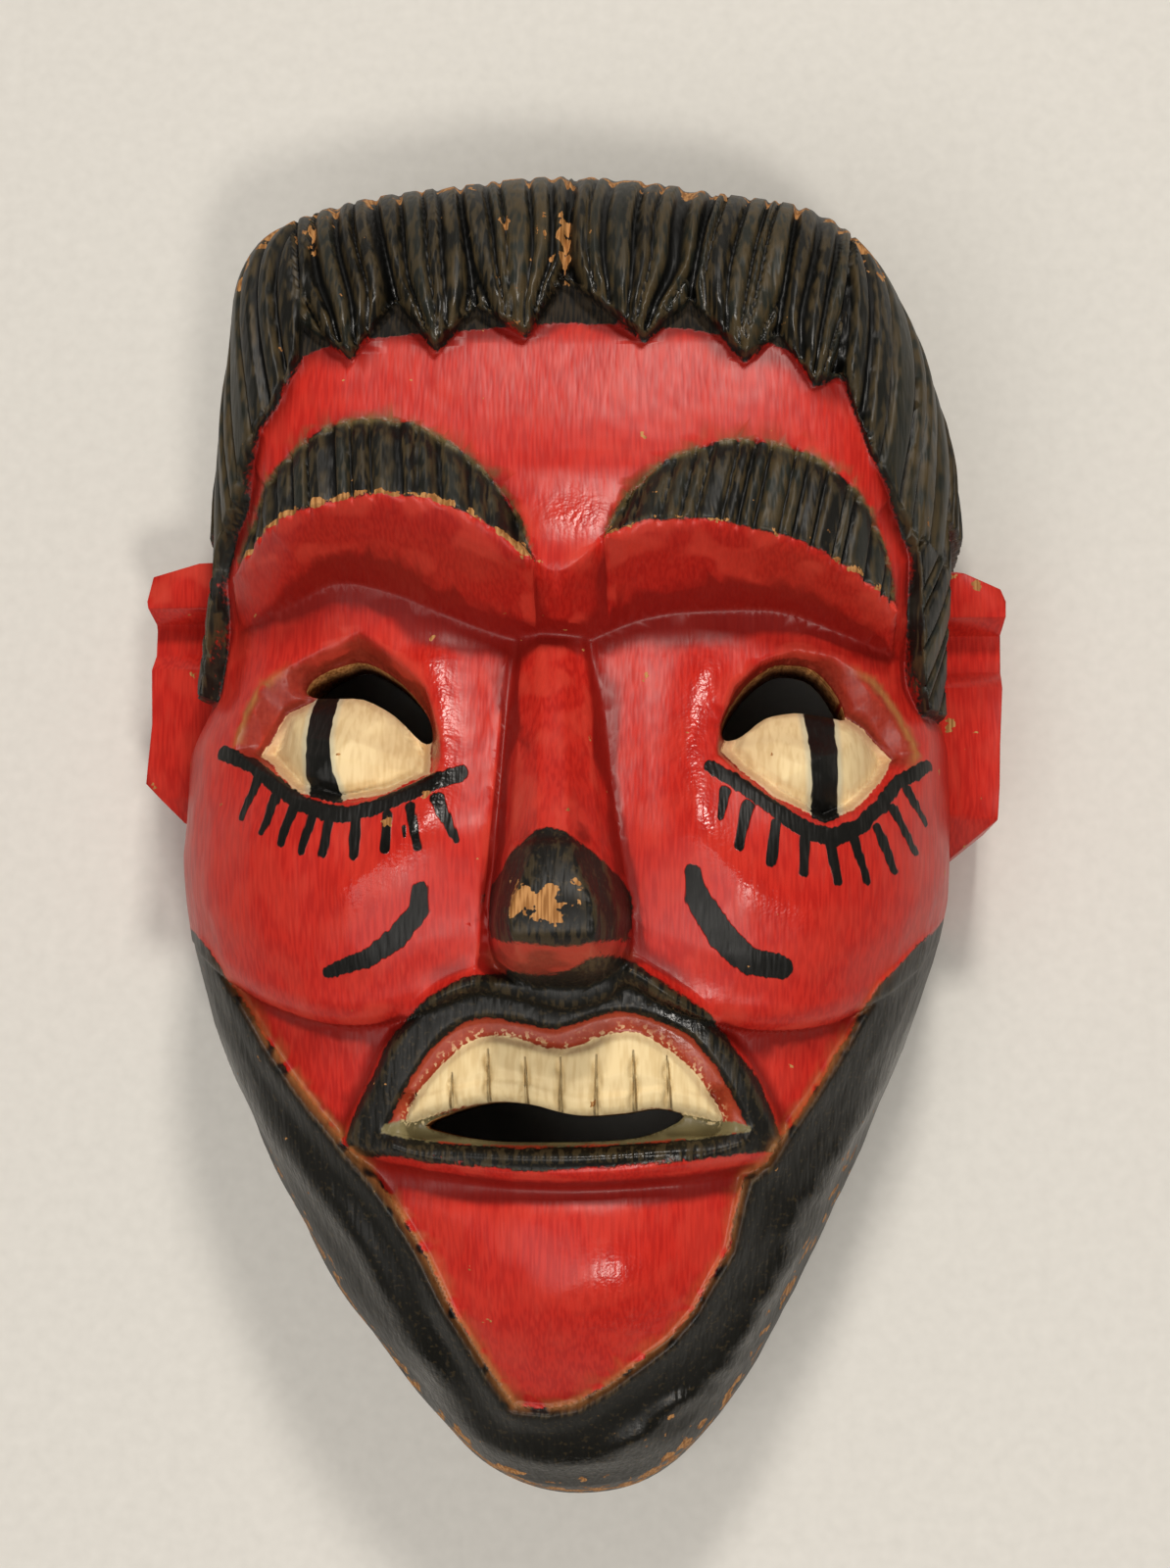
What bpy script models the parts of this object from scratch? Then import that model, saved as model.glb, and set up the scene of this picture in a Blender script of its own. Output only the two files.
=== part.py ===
import math

import bmesh
import bpy
import numpy as np

# Carved wooden mask lying on its flat back rim, face up.
# Sizes are millimetres; x to the viewer's right, y toward the hair, z out of the face.

gridCells = 360           # cells across the outer skin before it is thinned out
innerCells = 72           # cells across the hollow
finalTriangles = 9400
middleY = -10.0           # y of the axis that the rim radius is measured from
shiftX = 0.11             # moves the finished mask so that its box is centred
shiftY = 8.77
rimWall = 11.0            # width of the flat back rim
nosePocket = 16.0         # the hollow goes this much deeper behind the nose
hollowHeight = [
    (-150, 36), (-125, 44), (-100, 56), (-60, 60), (-20, 60), (20, 54), (60, 64), (100, 64), (128, 60),
]
sideSharpness = 3.5       # how square the blank is from front to side wall
topSharpness = 6.0        # the same at the top of the head
hollowSharpness = 2.8

# outline of the blank at the back rim, going round from the top of the head
rimPoints = [
    (4, 128), (31, 124.5), (51, 120), (63.5, 110.5), (73, 93), (79.5, 75.5), (82.8, 57), (82, 38),
    (80, 14), (79.6, -12), (77.5, -30), (66.2, -60), (47, -101), (32, -126.5), (17, -141.5),
    (0, -145.6), (-15, -142), (-29, -130), (-51, -101), (-72, -60), (-82, -27), (-82.7, 0), (-80.5, 30),
    (-77.5, 60), (-73, 88), (-69.6, 108.8), (-59.8, 119.0), (-35, 125.6),
]
# height of the uncut front along y
frontHeight = [
    (-150, 66), (-130, 72), (-100, 80), (-70, 84), (-30, 86), (20, 87), (60, 90), (100, 88), (128, 86),
]

# locks of hair on the forehead: where each parting leaves the top edge, its valley, and the lock tips
partingTops = [
    (-57, 118), (-40, 121), (-22.5, 124), (1.5, 126), (30, 123), (47.5, 118), (59, 112),
]
partingValleys = [
    (-52.2, 88.6), (-33.3, 92.8), (-17.4, 91.0), (-0.1, 97.3), (24.7, 92.4), (42.0, 84.2), (54.6, 76.2),
]
lockTips = [
    (-41.7, 78.9), (-25.0, 80.4), (-7.4, 83.2), (15.7, 82.3), (35.4, 77.5), (48.6, 72.8), (60.0, 59.9),
]
strandsPerLock = [4, 4, 5, 6, 5, 3]
hairDepth = 5.0           # how far the forehead lies below the hair
foreheadSwell = 2.0       # it comes forward by this much toward the brows
glabellaRise = 5.5        # and by this much more between them
strandDepth = 2.6
lockRise = 2.2            # the tips of the locks stand out, the partings sink in
sideStrandPitch = 8.6     # pitch of the side strands measured up the wall
sideStrandSlope = 1.6     # fall of a side strand for each step toward the face

# side edges of the hair and the sideburns
leftHairEdge = [
    (-52.2, 88.6), (-52.5, 80.2), (-57.0, 71.8), (-61.4, 66.7), (-65.5, 60.0), (-67.4, 54.7),
    (-71.3, 50.0), (-73.6, 44.0), (-74.6, 26.5), (-76.1, 18.0),
]
rightHairEdge = [
    (54.6, 76.2), (60.0, 59.9), (64.1, 54.6), (68.0, 48.4), (69.7, 43.9), (70.9, 36.6), (70.8, 21.6),
    (72.5, 13.0),
]
sideHairFoot = 52.0       # the hair on the side walls stops here, above the ears

# brows: upper edge, lower edge and the foot of the overhang below them
browTopLeft = [
    (-70.5, 44.5), (-61.3, 55.0), (-54.7, 60.4), (-46.8, 65.6), (-38.1, 67.3), (-29.4, 66.1),
    (-21.8, 61.7), (-14.1, 55.1), (-8.4, 46.5), (-5.4, 38.0),
]
browTopRight = [
    (8.0, 42.5), (12.4, 51.0), (19.9, 58.0), (31.3, 61.8), (40.7, 61.4), (50.1, 57.8), (57.8, 51.7),
    (62.8, 44.3), (65.8, 33.0),
]
browFoot = [
    (-76, 40.5), (-68.4, 42.3), (-55.8, 46.7), (-47.6, 48.4), (-36.0, 50.2), (-24.8, 49.1),
    (-17.3, 45.8), (-9.9, 40.7), (-5.2, 37.3), (-1.6, 35.2), (2.2, 36.5), (8.2, 41.5), (16.2, 44.5),
    (27.3, 44.4), (42.1, 41.6), (55.4, 36.2), (64.3, 31.4), (74, 28.5),
]
overhangFoot = [
    (-76, 32), (-66, 31.5), (-55.1, 34.4), (-45.5, 37.6), (-34.5, 35.2), (-24.8, 31.1), (-15.1, 27.2),
    (-8, 25.2), (-2.5, 24.6), (4, 25.0), (12, 28.5), (19.7, 30.4), (31.2, 31.2), (42.8, 31.0),
    (54, 27.5), (66, 23.5), (74, 22),
]
browRise = 5.0
browSink = 2.2            # the upper edge of a brow lies this much below the blank
browStrands = 15
browStrandDepth = 2.2
browLean = (0.10, -0.22)  # lean of the strands of the left and the right brow
planeDepth = [
    (-40, -1.0), (-18, 0.0), (-5, -3.0), (8, -7.5), (20, -12.0), (30, -15.0), (60, -16.0),
]

# nose: ridge height, half widths of the ridge facet and of the foot, along y
noseRidge = [
    (-43.6, 83), (-42.2, 91), (-40.0, 102), (-37.0, 111), (-34.0, 113.0), (-28.0, 112.5),
    (-20.0, 108.0), (-16.5, 104.0), (-8.0, 98.5), (10.0, 86.5), (24.0, 76.0), (30.0, 73.5),
]
noseRidgeHalf = [
    (-43, 4.5), (-37, 7.0), (-32, 7.5), (-25, 4.8), (-17, 2.8), (-8, 3.6), (10, 3.2), (26, 3.8),
]
noseFootHalf = [
    (-43.6, 4.0), (-41.5, 9.0), (-38, 12.6), (-30, 13.2), (-20, 12.6), (-8, 11.4), (10, 10.0),
    (26, 8.6),
]
noseMiddle = [
    (-43, -0.6), (-30, -0.6), (-8, -1.4), (10, -2.0), (26, -2.8),
]
troughDepth = 4.5
troughWall = 4.0          # width of its sloping sides
arrisLeft = [
    (-42, -17.0), (-39, -16.6), (-23.7, -14.8), (-4.8, -13.5), (15.9, -12.0), (25.2, -11.2),
]
arrisRight = [
    (-42, 12.6), (-37.4, 12.2), (-23.8, 10.8), (-4.9, 9.3), (11.8, 7.2), (26.0, 5.6),
]

# cheeks end in a ledge above the lower face
ledgeLine = [
    (-84, -24), (-79.2, -26.5), (-72.8, -32.5), (-63.2, -39.0), (-52.6, -43.2), (-42.6, -45.3),
    (-32.9, -44.6), (-23.4, -41.9), (-16.5, -39.6), (-8, -41.0), (0, -43.0), (8, -41.0), (12.0, -38.4),
    (19.4, -42.0), (28.6, -45.3), (39.8, -46.4), (51.3, -44.9), (61.3, -40.1), (70.0, -33.6),
    (76.2, -26.7), (84, -22),
]
ledgeDrop = 9.5
ledgeRound = 5.0
cheekRound = 1.2          # the cheeks fall by this much before the ledge
jawFall = 1.5             # and the lower face by this much on its way to the chin

# eyes: socket rims, eyeballs, see-through crescents
socketLeft = [
    (-66.5, 5.0), (-65.0, 14.5), (-60.1, 19.5), (-49.6, 23.1), (-41.9, 25.4), (-33.6, 20.2),
    (-27.8, 15.0), (-24.4, 5.0), (-23.5, -1.5), (-31.0, -5.5), (-40.0, -8.0), (-50.0, -6.5),
    (-59.5, -1.0),
]
socketRight = [
    (29.6, 1.0), (30.4, 7.0), (33.3, 15.0), (37.7, 19.0), (44.8, 21.9), (52.1, 21.0), (60.0, 17.4),
    (65.6, 12.6), (69.0, 5.0), (66.5, -2.0), (58.5, -8.0), (50.0, -12.4), (41.0, -8.5), (34.0, -3.0),
]
eyeLeft = [
    (-61.4, 4.2), (-56.4, 12.8), (-47.4, 16.6), (-39.6, 16.8), (-31.6, 11.8), (-26.4, 5.0),
    (-25.8, -2.2), (-33.8, -6.2), (-43.8, -7.8), (-52.5, -5.0),
]
eyeRight = [
    (30.2, 2.6), (32.2, 8.2), (38.5, 12.4), (45.0, 13.4), (52.3, 12.4), (58.6, 8.8), (64.8, 2.8),
    (61.4, -3.4), (55.5, -9.3), (49.7, -12.0), (40.0, -7.2), (33.6, -1.8),
]
slitLeft = [
    (-52.4, 16.4), (-51.4, 19.6), (-46.0, 22.4), (-40.6, 22.9), (-33.0, 18.0), (-27.4, 10.8),
    (-26.2, 5.4), (-28.6, 5.6), (-33.8, 10.6), (-40.4, 14.4), (-46.8, 15.0),
]
slitRight = [
    (30.6, 5.4), (31.0, 10.2), (34.8, 16.4), (39.7, 20.6), (44.0, 21.8), (49.2, 20.6), (53.6, 15.2),
    (54.8, 10.2), (50.4, 10.4), (44.6, 10.9), (38.6, 9.4), (34.4, 6.0),
]
socketDepth = 6.5
eyeRise = 4.6
eyeCrown = 2.2            # the upper half of an eyeball stands out by this much more
eyeSlope = 0.85
eyeGroove = 1.2           # cut round each eyeball

# mouth: muzzle outline, teeth panel, slot, lower lip
muzzleLine = [
    (-43.5, -73), (-42.8, -69.1), (-38.6, -61.1), (-33.2, -51.3), (-25.5, -44.7), (-19.3, -41.6),
    (-12.5, -40.3), (-6.9, -41.0), (-0.7, -41.5), (7.3, -39.0), (12.3, -38.3), (16.6, -40.5),
    (21.6, -43.9), (27.0, -47.8), (32.5, -53.8), (37.6, -61.7), (41.6, -70.4), (41.0, -76), (20, -79.5),
    (-0.8, -80.5), (-20, -79.0), (-38, -75.5),
]
moustacheInner = [
    (-34.5, -72.0), (-33.5, -66.7), (-29.2, -59.4), (-23.6, -52.2), (-17.2, -49.1), (-9.2, -49.3),
    (-1.9, -51.0), (5.5, -48.6), (12.3, -47.7), (17.9, -49.2), (24.5, -52.8), (29.5, -58.9),
    (33.0, -64.9), (34.5, -72.0), (18, -76.5), (-0.8, -78.0), (-19, -76.8),
]
teethLine = [
    (-30.8, -68.4), (-26.6, -60.7), (-20.3, -54.9), (-14.2, -52.3), (-7.3, -53.5), (-0.6, -54.8),
    (4.4, -53.9), (8.6, -52.2), (12.9, -51.8), (17.8, -53.7), (23.2, -57.8), (27.6, -63.3),
    (30.0, -68.4), (23.9, -67.2), (17.8, -66.3), (11.5, -67.2), (4.3, -67.7), (-0.7, -67.2),
    (-6.8, -65.5), (-14.2, -65.0), (-23.6, -66.8),
]
toothCuts = [-21.4, -14.5, -7.4, -0.7, 6.1, 13.1, 19.5]
slotLine = [
    (-27.4, -69.2), (-22.0, -66.6), (-14.0, -64.8), (-6.8, -65.2), (-0.7, -66.8), (4.4, -67.4),
    (11.5, -66.9), (17.8, -66.0), (22.6, -67.6), (16.0, -71.0), (7.5, -72.2), (-8.2, -72.4),
    (-16.0, -72.0), (-23.0, -70.8),
]
lipLine = [
    (-36.4, -71.2), (-25.4, -72.6), (-13.0, -73.4), (-0.7, -73.6), (11.5, -73.2), (23.8, -72.2),
    (33.4, -70.8),
]
muzzleRise = 5.5
moustacheStep = 1.6       # from the moustache down to the strip above the teeth
teethStep = 2.2
teethCrown = 2.0
toothCutDepth = 1.3
toothCutHalf = 0.8
lipRise = 2.2
lipHollow = 4.0           # between the teeth and the lower lip
chinRise = 9.0
cheekRise = 3.0
chinMiddle = (4.0, -101.0)

# beard: inner edge from the left ear round the chin to the right ear
beardEdge = [
    (-84, -25.5), (-74.9, -32.2), (-65.2, -44.8), (-57.3, -55.9), (-49.8, -66.0), (-42.6, -73.8),
    (-36.9, -80.0), (-32.4, -86.7), (-27.7, -95.2), (-22.6, -105.2), (-17.3, -114.6), (-11.3, -124.2),
    (-4.4, -124.8), (1.2, -123.6), (7.8, -119.2), (13.4, -115.1), (19.5, -110.6), (24.2, -105.2),
    (28.0, -98.3), (31.1, -92.9), (32.8, -85.9), (34.3, -79.2), (38.9, -76.0), (44.5, -67.6),
    (49.2, -60.8), (53.3, -54.5), (57.3, -48.2), (61.5, -42.0), (67.5, -36.1), (76.8, -27.2),
    (84, -22.5),
]
beardStep = 5.0
beardSwell = 1.5

# ears: outline seen from the front (x, y), and from the side (y, z) with the notch below the top fold
earFrontLeft = [
    (-66, 50.5), (-80, 49.8), (-89.7, 46.9), (-90.9, 41.5), (-90.1, 36.5), (-89.6, 15.4), (-90.4, 6.0),
    (-91.0, 2.8), (-83.5, -5.0), (-66, -9),
]
earFrontRight = [
    (66, 49.5), (81.8, 46.3), (89.6, 42.6), (91.0, 39.7), (90.3, 34.4), (90.0, 24.6), (89.0, 10.0),
    (88.3, -5.9), (78.5, -13.7), (66, -17),
]
earSideLeft = [
    (-10, 11), (-8, 27), (0, 33), (6, 35.5), (27, 36), (31, 31), (38, 29.5), (40, 37.5), (50, 37),
    (53, 30), (53, 14), (46, 9), (4, 8),
]
earSideRight = [
    (-18, 11), (-16, 25), (-5, 35), (1, 36.5), (22, 35), (26, 30.5), (34, 29.5), (36.5, 37.5), (46, 37),
    (50, 30), (50, 14), (42, 9), (-4, 8),
]
earScoop = 3.0            # depth of the hollow in the outer side of each ear
templeCut = 3.0           # the temples lie this much inside the hair and the sideburns
earLow = 8.0              # the slabs that the ears are cut from
earHigh = 40.0
earInner = 60.0
earOuter = 94.0
earScoopEdge = 90.5
slitFoot = 40.0           # reach of the cutters for the slits and the mouth slot
slitTop = 110.0


def smoothStep(low, high, value):
    t = np.clip((value - low) / (high - low), 0.0, 1.0)
    return t * t * (3.0 - 2.0 * t)


def ramp(low, high, value):
    return np.clip((value - low) / (high - low), 0.0, 1.0)


def smoothCurve(points, closed=False, steps=6):
    pts = np.array(points, float)
    count = len(pts)
    out = []
    for i in range(count if closed else count - 1):
        p1 = pts[i]
        p2 = pts[(i + 1) % count]
        p0 = pts[(i - 1) % count] if closed or i > 0 else 2 * p1 - p2
        p3 = pts[(i + 2) % count] if closed or i + 2 < count else 2 * p2 - p1
        for t in np.arange(steps) / steps:
            out.append(0.5 * (2 * p1 + (p2 - p0) * t + (2 * p0 - 5 * p1 + 4 * p2 - p3) * t * t
                              + (3 * p1 - p0 - 3 * p2 + p3) * t ** 3))
    if not closed:
        out.append(pts[-1])
    return np.array(out)


def along(points, value):
    curve = smoothCurve(points)
    order = np.argsort(curve[:, 0], kind="stable")
    return np.interp(value, curve[order, 0], curve[order, 1])


def insideDistance(points, x, y, smooth=True):
    ring = smoothCurve(points, True, 3) if smooth else np.array(points, float)
    nearest = np.full(x.shape, 1e9)
    inside = np.zeros(x.shape, bool)
    for (ax, ay), (bx, by) in zip(ring, np.roll(ring, -1, 0)):
        dx = bx - ax
        dy = by - ay
        t = np.clip(((x - ax) * dx + (y - ay) * dy) / (dx * dx + dy * dy + 1e-12), 0, 1)
        nearest = np.minimum(nearest, np.hypot(x - ax - t * dx, y - ay - t * dy))
        if ay != by:
            cross = ((ay > y) != (by > y)) & (x < dx * (y - ay) / dy + ax)
            inside ^= cross
    return np.where(inside, nearest, -nearest)


def rimRadius(angle):
    curve = smoothCurve(rimPoints, True, 8)
    a = np.arctan2(curve[:, 1] - middleY, curve[:, 0])
    r = np.hypot(curve[:, 0], curve[:, 1] - middleY)
    order = np.argsort(a)
    a = a[order]
    r = r[order]
    a = np.concatenate([a - 2 * math.pi, a, a + 2 * math.pi])
    return np.interp(angle, a, np.tile(r, 3))


def profileTable(sharpness):
    t = np.linspace(0, math.pi / 2, 2001)
    rho = np.sin(t) ** (2 / sharpness)
    high = np.cos(t) ** (2 / sharpness)
    high[-1] = 0.0
    length = np.concatenate([[0], np.cumsum(np.hypot(np.diff(rho) * 95, np.diff(high) * 85))])
    return length / length[-1], rho, high


def blankProfile(reach, sharpness, lowest, highest):
    levels = np.linspace(lowest, highest, 6)
    place = (np.clip(sharpness, lowest, highest) - lowest) / max(highest - lowest, 0.001) * 5
    rho = np.zeros(reach.shape)
    high = np.zeros(reach.shape)
    for i, level in enumerate(levels):
        s, r, h = profileTable(level)
        weight = np.clip(1 - np.abs(place - i), 0, 1)
        rho += weight * np.interp(reach, s, r)
        high += weight * np.interp(reach, s, h)
    return rho, high


def discPoints(cells):
    line = np.linspace(-1, 1, cells + 1)
    u, v = np.meshgrid(line, line, indexing="ij")
    dx = u * np.sqrt(1 - v * v / 2)
    dy = v * np.sqrt(1 - u * u / 2)
    return np.clip(np.hypot(dx, dy), 0, 1), np.arctan2(dy, dx)


def browAmount(x, y, top):
    edge = np.where((x > top[0][0]) & (x < top[-1][0]), along(top, x), -999.0)
    foot = along(browFoot, x)
    return edge, foot


def faceRelief(x, y):
    foot = along(browFoot, x)
    overhang = along(overhangFoot, x)
    height = -hairDepth + foreheadSwell * smoothStep(92, 52, y)
    height = height + glabellaRise * smoothStep(58, 37, y) * smoothStep(22, 4, np.abs(x - 1.5))
    for top in (browTopLeft, browTopRight):
        edge, low = browAmount(x, y, top)
        span = np.maximum(edge - low, 0.5)
        t = (edge - y) / span
        rise = browRise * (0.55 + 0.45 * smoothStep(70, 56, np.abs(x)))
        brow = -browSink + (rise + browSink) * np.clip(t, 0, 1.4) ** 1.2
        height = np.where(y < edge, np.maximum(brow, height), height)
    side = 1 - 0.5 * smoothStep(60, 80, np.abs(x))
    plane = along(planeDepth, y) * side
    lowPlane = along(planeDepth, overhang) * side
    t = np.clip((foot - y) / np.maximum(foot - overhang, 1.0), 0, 1)
    height = np.where(y < foot, height * (1 - t) + lowPlane * t, height)
    height = np.where(y < overhang, plane, height)
    # nose trough, between the arrises of the cheeks
    within = np.minimum(x - along(arrisLeft, y), along(arrisRight, y) - x)
    height = height - troughDepth * ramp(0, troughWall, within) * smoothStep(29, 20, y)
    # lower face below the cheek ledge, rounded at its foot
    below = along(ledgeLine, x) - y
    lower = -ledgeDrop - jawFall * smoothStep(0, 60, below)
    height = height - cheekRound * smoothStep(-9, 0, below) * (y < 0)
    down = 1 - np.sqrt(1 - (0.985 * ramp(0, ledgeRound, below)) ** 2)
    down = np.where(below > ledgeRound, 1.0, down)
    return np.where(below > 0, height * (1 - down) + lower * down, height)


def noseHeight(x, y, ground):
    ridge = along(noseRidge, y)
    half = along(noseRidgeHalf, y)
    foot = along(noseFootHalf, y)
    off = np.abs(x - along(noseMiddle, y))
    t = np.clip((off - half) / np.maximum(foot - half, 0.8), 0, 1)
    shape = ridge * (1 - t) + (ground - 1.0) * t
    reach = (off < foot) & (y > -43.6) & (y < 30)
    return np.where(reach, np.maximum(shape, ground), ground)


def strandWave(place):
    part = place - np.floor(place)
    return np.abs(2 * part - 1) ** 1.6


def hairPlaces(x, y, z):
    lower = np.interp(x, *np.array(sorted(partingValleys + lockTips)).T)
    front = (x > partingValleys[0][0]) & (x < lockTips[-1][0])
    amount = np.where(front, (y - lower) * 0.75, -50.0)
    # side areas reach from the front edge of the hair to the back rim
    leftEdge = [(-120, 150), (-52.2, 150)] + leftHairEdge + [(-120, 18.0)]
    rightEdge = [(120, 150), (lockTips[-1][0] - 5.4, 150)] + rightHairEdge + [(120, 13.0)]
    side = np.maximum(insideDistance(leftEdge, x, y, False), insideDistance(rightEdge, x, y, False))
    wall = np.maximum(y - sideHairFoot, z - np.interp(y, [10, 20, 50], [49, 51, 57]))
    side = np.minimum(side, wall)
    return np.maximum(amount, side), amount


def hairStrands(x, y, z):
    groove = np.zeros(x.shape)
    yy = np.clip(y, 60, 124)
    lines = []
    for (tx, ty), (vx, vy) in zip(partingTops, partingValleys):
        narrowed = np.where(yy < vy, 0.6 + 0.4 * (ty - vy) / (ty - yy + 1e-9), 1)
        lines.append(tx + (vx - tx) * (ty - yy) / (ty - vy) * narrowed)
    for i, count in enumerate(strandsPerLock):
        q = (x - lines[i]) / (lines[i + 1] - lines[i])
        use = (q >= 0) & (q < 1)
        groove = np.where(use, strandWave(q * count), groove)
    outer = (x < lines[0]) | (x > lines[-1])
    place = (y + sideStrandSlope * z) / sideStrandPitch
    groove = np.where(outer, strandWave(place), groove)
    return groove


def lockLift(x, y, hairFront):
    lift = np.zeros(x.shape)
    for (vx, vy), (wx, wy) in zip(partingValleys[:-1], partingValleys[1:]):
        across = 1 - np.abs(2 * (x - vx) / (wx - vx) - 1)
        lift = np.where((x > vx) & (x < wx), smoothStep(0, 0.8, across) - 0.6, lift)
    return lift * lockRise * smoothStep(20, 3, hairFront) * smoothStep(-0.5, 0.8, hairFront)


def outerSkin(cells):
    reach, angle = discPoints(cells)
    sharp = sideSharpness + (topSharpness - sideSharpness) * smoothStep(0.6, 0.92, np.sin(angle))
    rho, high = blankProfile(reach, sharp, sideSharpness, topSharpness)
    radius = rimRadius(angle)
    x = rho * radius * np.cos(angle)
    y = middleY + rho * radius * np.sin(angle)
    top = along(frontHeight, y)
    return x, y, high * top, high, top


def skinNormals(x, y, z):
    point = np.stack([x, y, z], -1)
    du = np.gradient(point, axis=0)
    dv = np.gradient(point, axis=1)
    normal = np.cross(du, dv)
    length = np.linalg.norm(normal, axis=-1, keepdims=True)
    return normal / np.maximum(length, 1e-9)


def mouthRelief(x, y, relief, beard):
    muzzle = insideDistance(muzzleLine, x, y)
    inner = insideDistance(moustacheInner, x, y)
    teeth = insideDistance(teethLine, x, y)
    relief = relief + muzzleRise * smoothStep(-1.5, 2.5, muzzle) * (beard < 0) * (y < -36)
    relief = relief - moustacheStep * smoothStep(-0.9, 1.3, inner)
    relief = relief + teethStep * smoothStep(-0.4, 1.8, teeth) + teethCrown * smoothStep(0, 9, teeth)
    lowTeeth = smoothStep(0.5, 1.5, teeth) * smoothStep(-59.5, -61.5, y)
    for cut in toothCuts:
        relief = relief - toothCutDepth * np.exp(-((x - cut) / toothCutHalf) ** 2) * lowTeeth
    lip = along(lipLine, x)
    across = y - (lip - 1.6)
    relief = relief + lipRise * np.exp(-(across / 2.6) ** 2) * smoothStep(38, 33, np.abs(x))
    behindLip = (teeth < 0) * smoothStep(33, 28, np.abs(x)) * (y < lip + 9) * (inner > 0)
    return relief - lipHollow * smoothStep(-1.0, 4.0, across) * behindLip


def cheekAndChinRelief(x, y, relief, beard):
    for side in (-1, 1):
        cheek = ((x - 40.0 * side) / 26.0) ** 2 + ((y + 22.0) / 22.0) ** 2
        relief = relief + cheekRise * np.exp(-cheek * cheek) * (y > along(ledgeLine, x) - 4.0)
    chin = ((x - chinMiddle[0]) / 30.0) ** 2 + ((y - chinMiddle[1]) / 18.0) ** 2
    relief = relief + chinRise * np.exp(-chin) * (beard < 0)
    beardLift = smoothStep(-0.6, 2.2, beard)
    relief = relief * (1 - beardLift) + (relief + beardStep) * beardLift
    swell = beardSwell * np.exp(-((beard - 9) / 5.0) ** 2)
    return np.where(beard > 0, np.minimum(relief, -1.0) + swell, relief)


def eyeRelief(x, y, relief):
    for socket, eye in ((socketLeft, eyeLeft), (socketRight, eyeRight)):
        rim = insideDistance(socket, x, y)
        ball = insideDistance(eye, x, y, False)
        relief = relief - socketDepth * ramp(0, 3.5, rim) * smoothStep(-6, 8, y)
        relief = relief + np.clip(ball * eyeSlope, 0, eyeRise + eyeCrown * smoothStep(-4, 8, y))
        relief = relief - eyeGroove * smoothStep(2.0, 0.0, np.abs(ball))
    return relief


def browGrooves(x, y):
    groove = np.zeros(x.shape)
    for topLine, lean in zip((browTopLeft, browTopRight), browLean):
        edge, low = browAmount(x, y, topLine)
        on = smoothStep(0, 1.5, edge - y) * smoothStep(-0.5, 0.8, y - low)
        span = topLine[-1][0] - topLine[0][0]
        place = (x - topLine[0][0] + lean * (y - 50)) / span * browStrands
        groove = groove + strandWave(place) * browStrandDepth * on
    return groove


def carve(cells):
    x, y, z, high, top = outerSkin(cells)
    hair, hairFront = hairPlaces(x, y, z)
    beardRing = [(-130, -25.5)] + beardEdge + [(130, -22.5), (130, -200), (-130, -200)]
    beard = insideDistance(beardRing, x, y, False)
    relief = mouthRelief(x, y, faceRelief(x, y), beard)
    relief = cheekAndChinRelief(x, y, relief, beard)
    relief = eyeRelief(x, y, relief)
    mix = smoothStep(-0.8, 0.4, hair)
    newZ = high * (top + relief * (1 - mix))
    newZ = np.where(high > 0.2, noseHeight(x, y, newZ), newZ)
    # strands are cut along the normal of the blank; they fade on the sawn top wall
    normal = skinNormals(x, y, z)
    steep = smoothStep(0.85, 0.5, normal[..., 2])
    sawn = 1 - 0.75 * smoothStep(0.75, 0.25, normal[..., 2]) * smoothStep(96, 112, y)
    groove = hairStrands(x, y, z) * strandDepth * smoothStep(0.0, 1.2, hair) * sawn
    groove = groove + browGrooves(x, y) - lockLift(x, y, hairFront)
    groove = groove + templeCut * steep * smoothStep(6, 20, y) * (1 - mix)
    point = np.stack([x, y, newZ], -1) - normal * groove[..., None]
    point[..., 2] = np.where(high <= 1e-6, 0.0, np.maximum(point[..., 2], 0.0))
    return point


def removeOldObjects():
    for item in list(bpy.data.objects):
        bpy.data.objects.remove(item, do_unlink=True)


def gridSolid(name, point, foot):
    cells = point.shape[0] - 1
    bm = bmesh.new()
    made = bmesh.ops.create_grid(bm, x_segments=cells, y_segments=cells, size=1.0)
    for vert in made["verts"]:
        i = int(round((vert.co.x + 1) / 2 * cells))
        j = int(round((vert.co.y + 1) / 2 * cells))
        vert.co = point[i, j] * 0.001
    border = [edge for edge in bm.edges if edge.is_boundary]
    if foot is None:
        bmesh.ops.edgeloop_fill(bm, edges=border)
    else:
        skirt = bmesh.ops.extrude_edge_only(bm, edges=border)
        low = [item for item in skirt["geom"] if isinstance(item, bmesh.types.BMVert)]
        for vert in low:
            vert.co.z = foot * 0.001
        bottom = [item for item in skirt["geom"] if isinstance(item, bmesh.types.BMEdge)]
        bmesh.ops.edgeloop_fill(bm, edges=[edge for edge in bottom if edge.is_boundary])
    bmesh.ops.recalc_face_normals(bm, faces=bm.faces)
    mesh = bpy.data.meshes.new(name)
    bm.to_mesh(mesh)
    bm.free()
    item = bpy.data.objects.new(name, mesh)
    bpy.context.scene.collection.objects.link(item)
    return item


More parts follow.
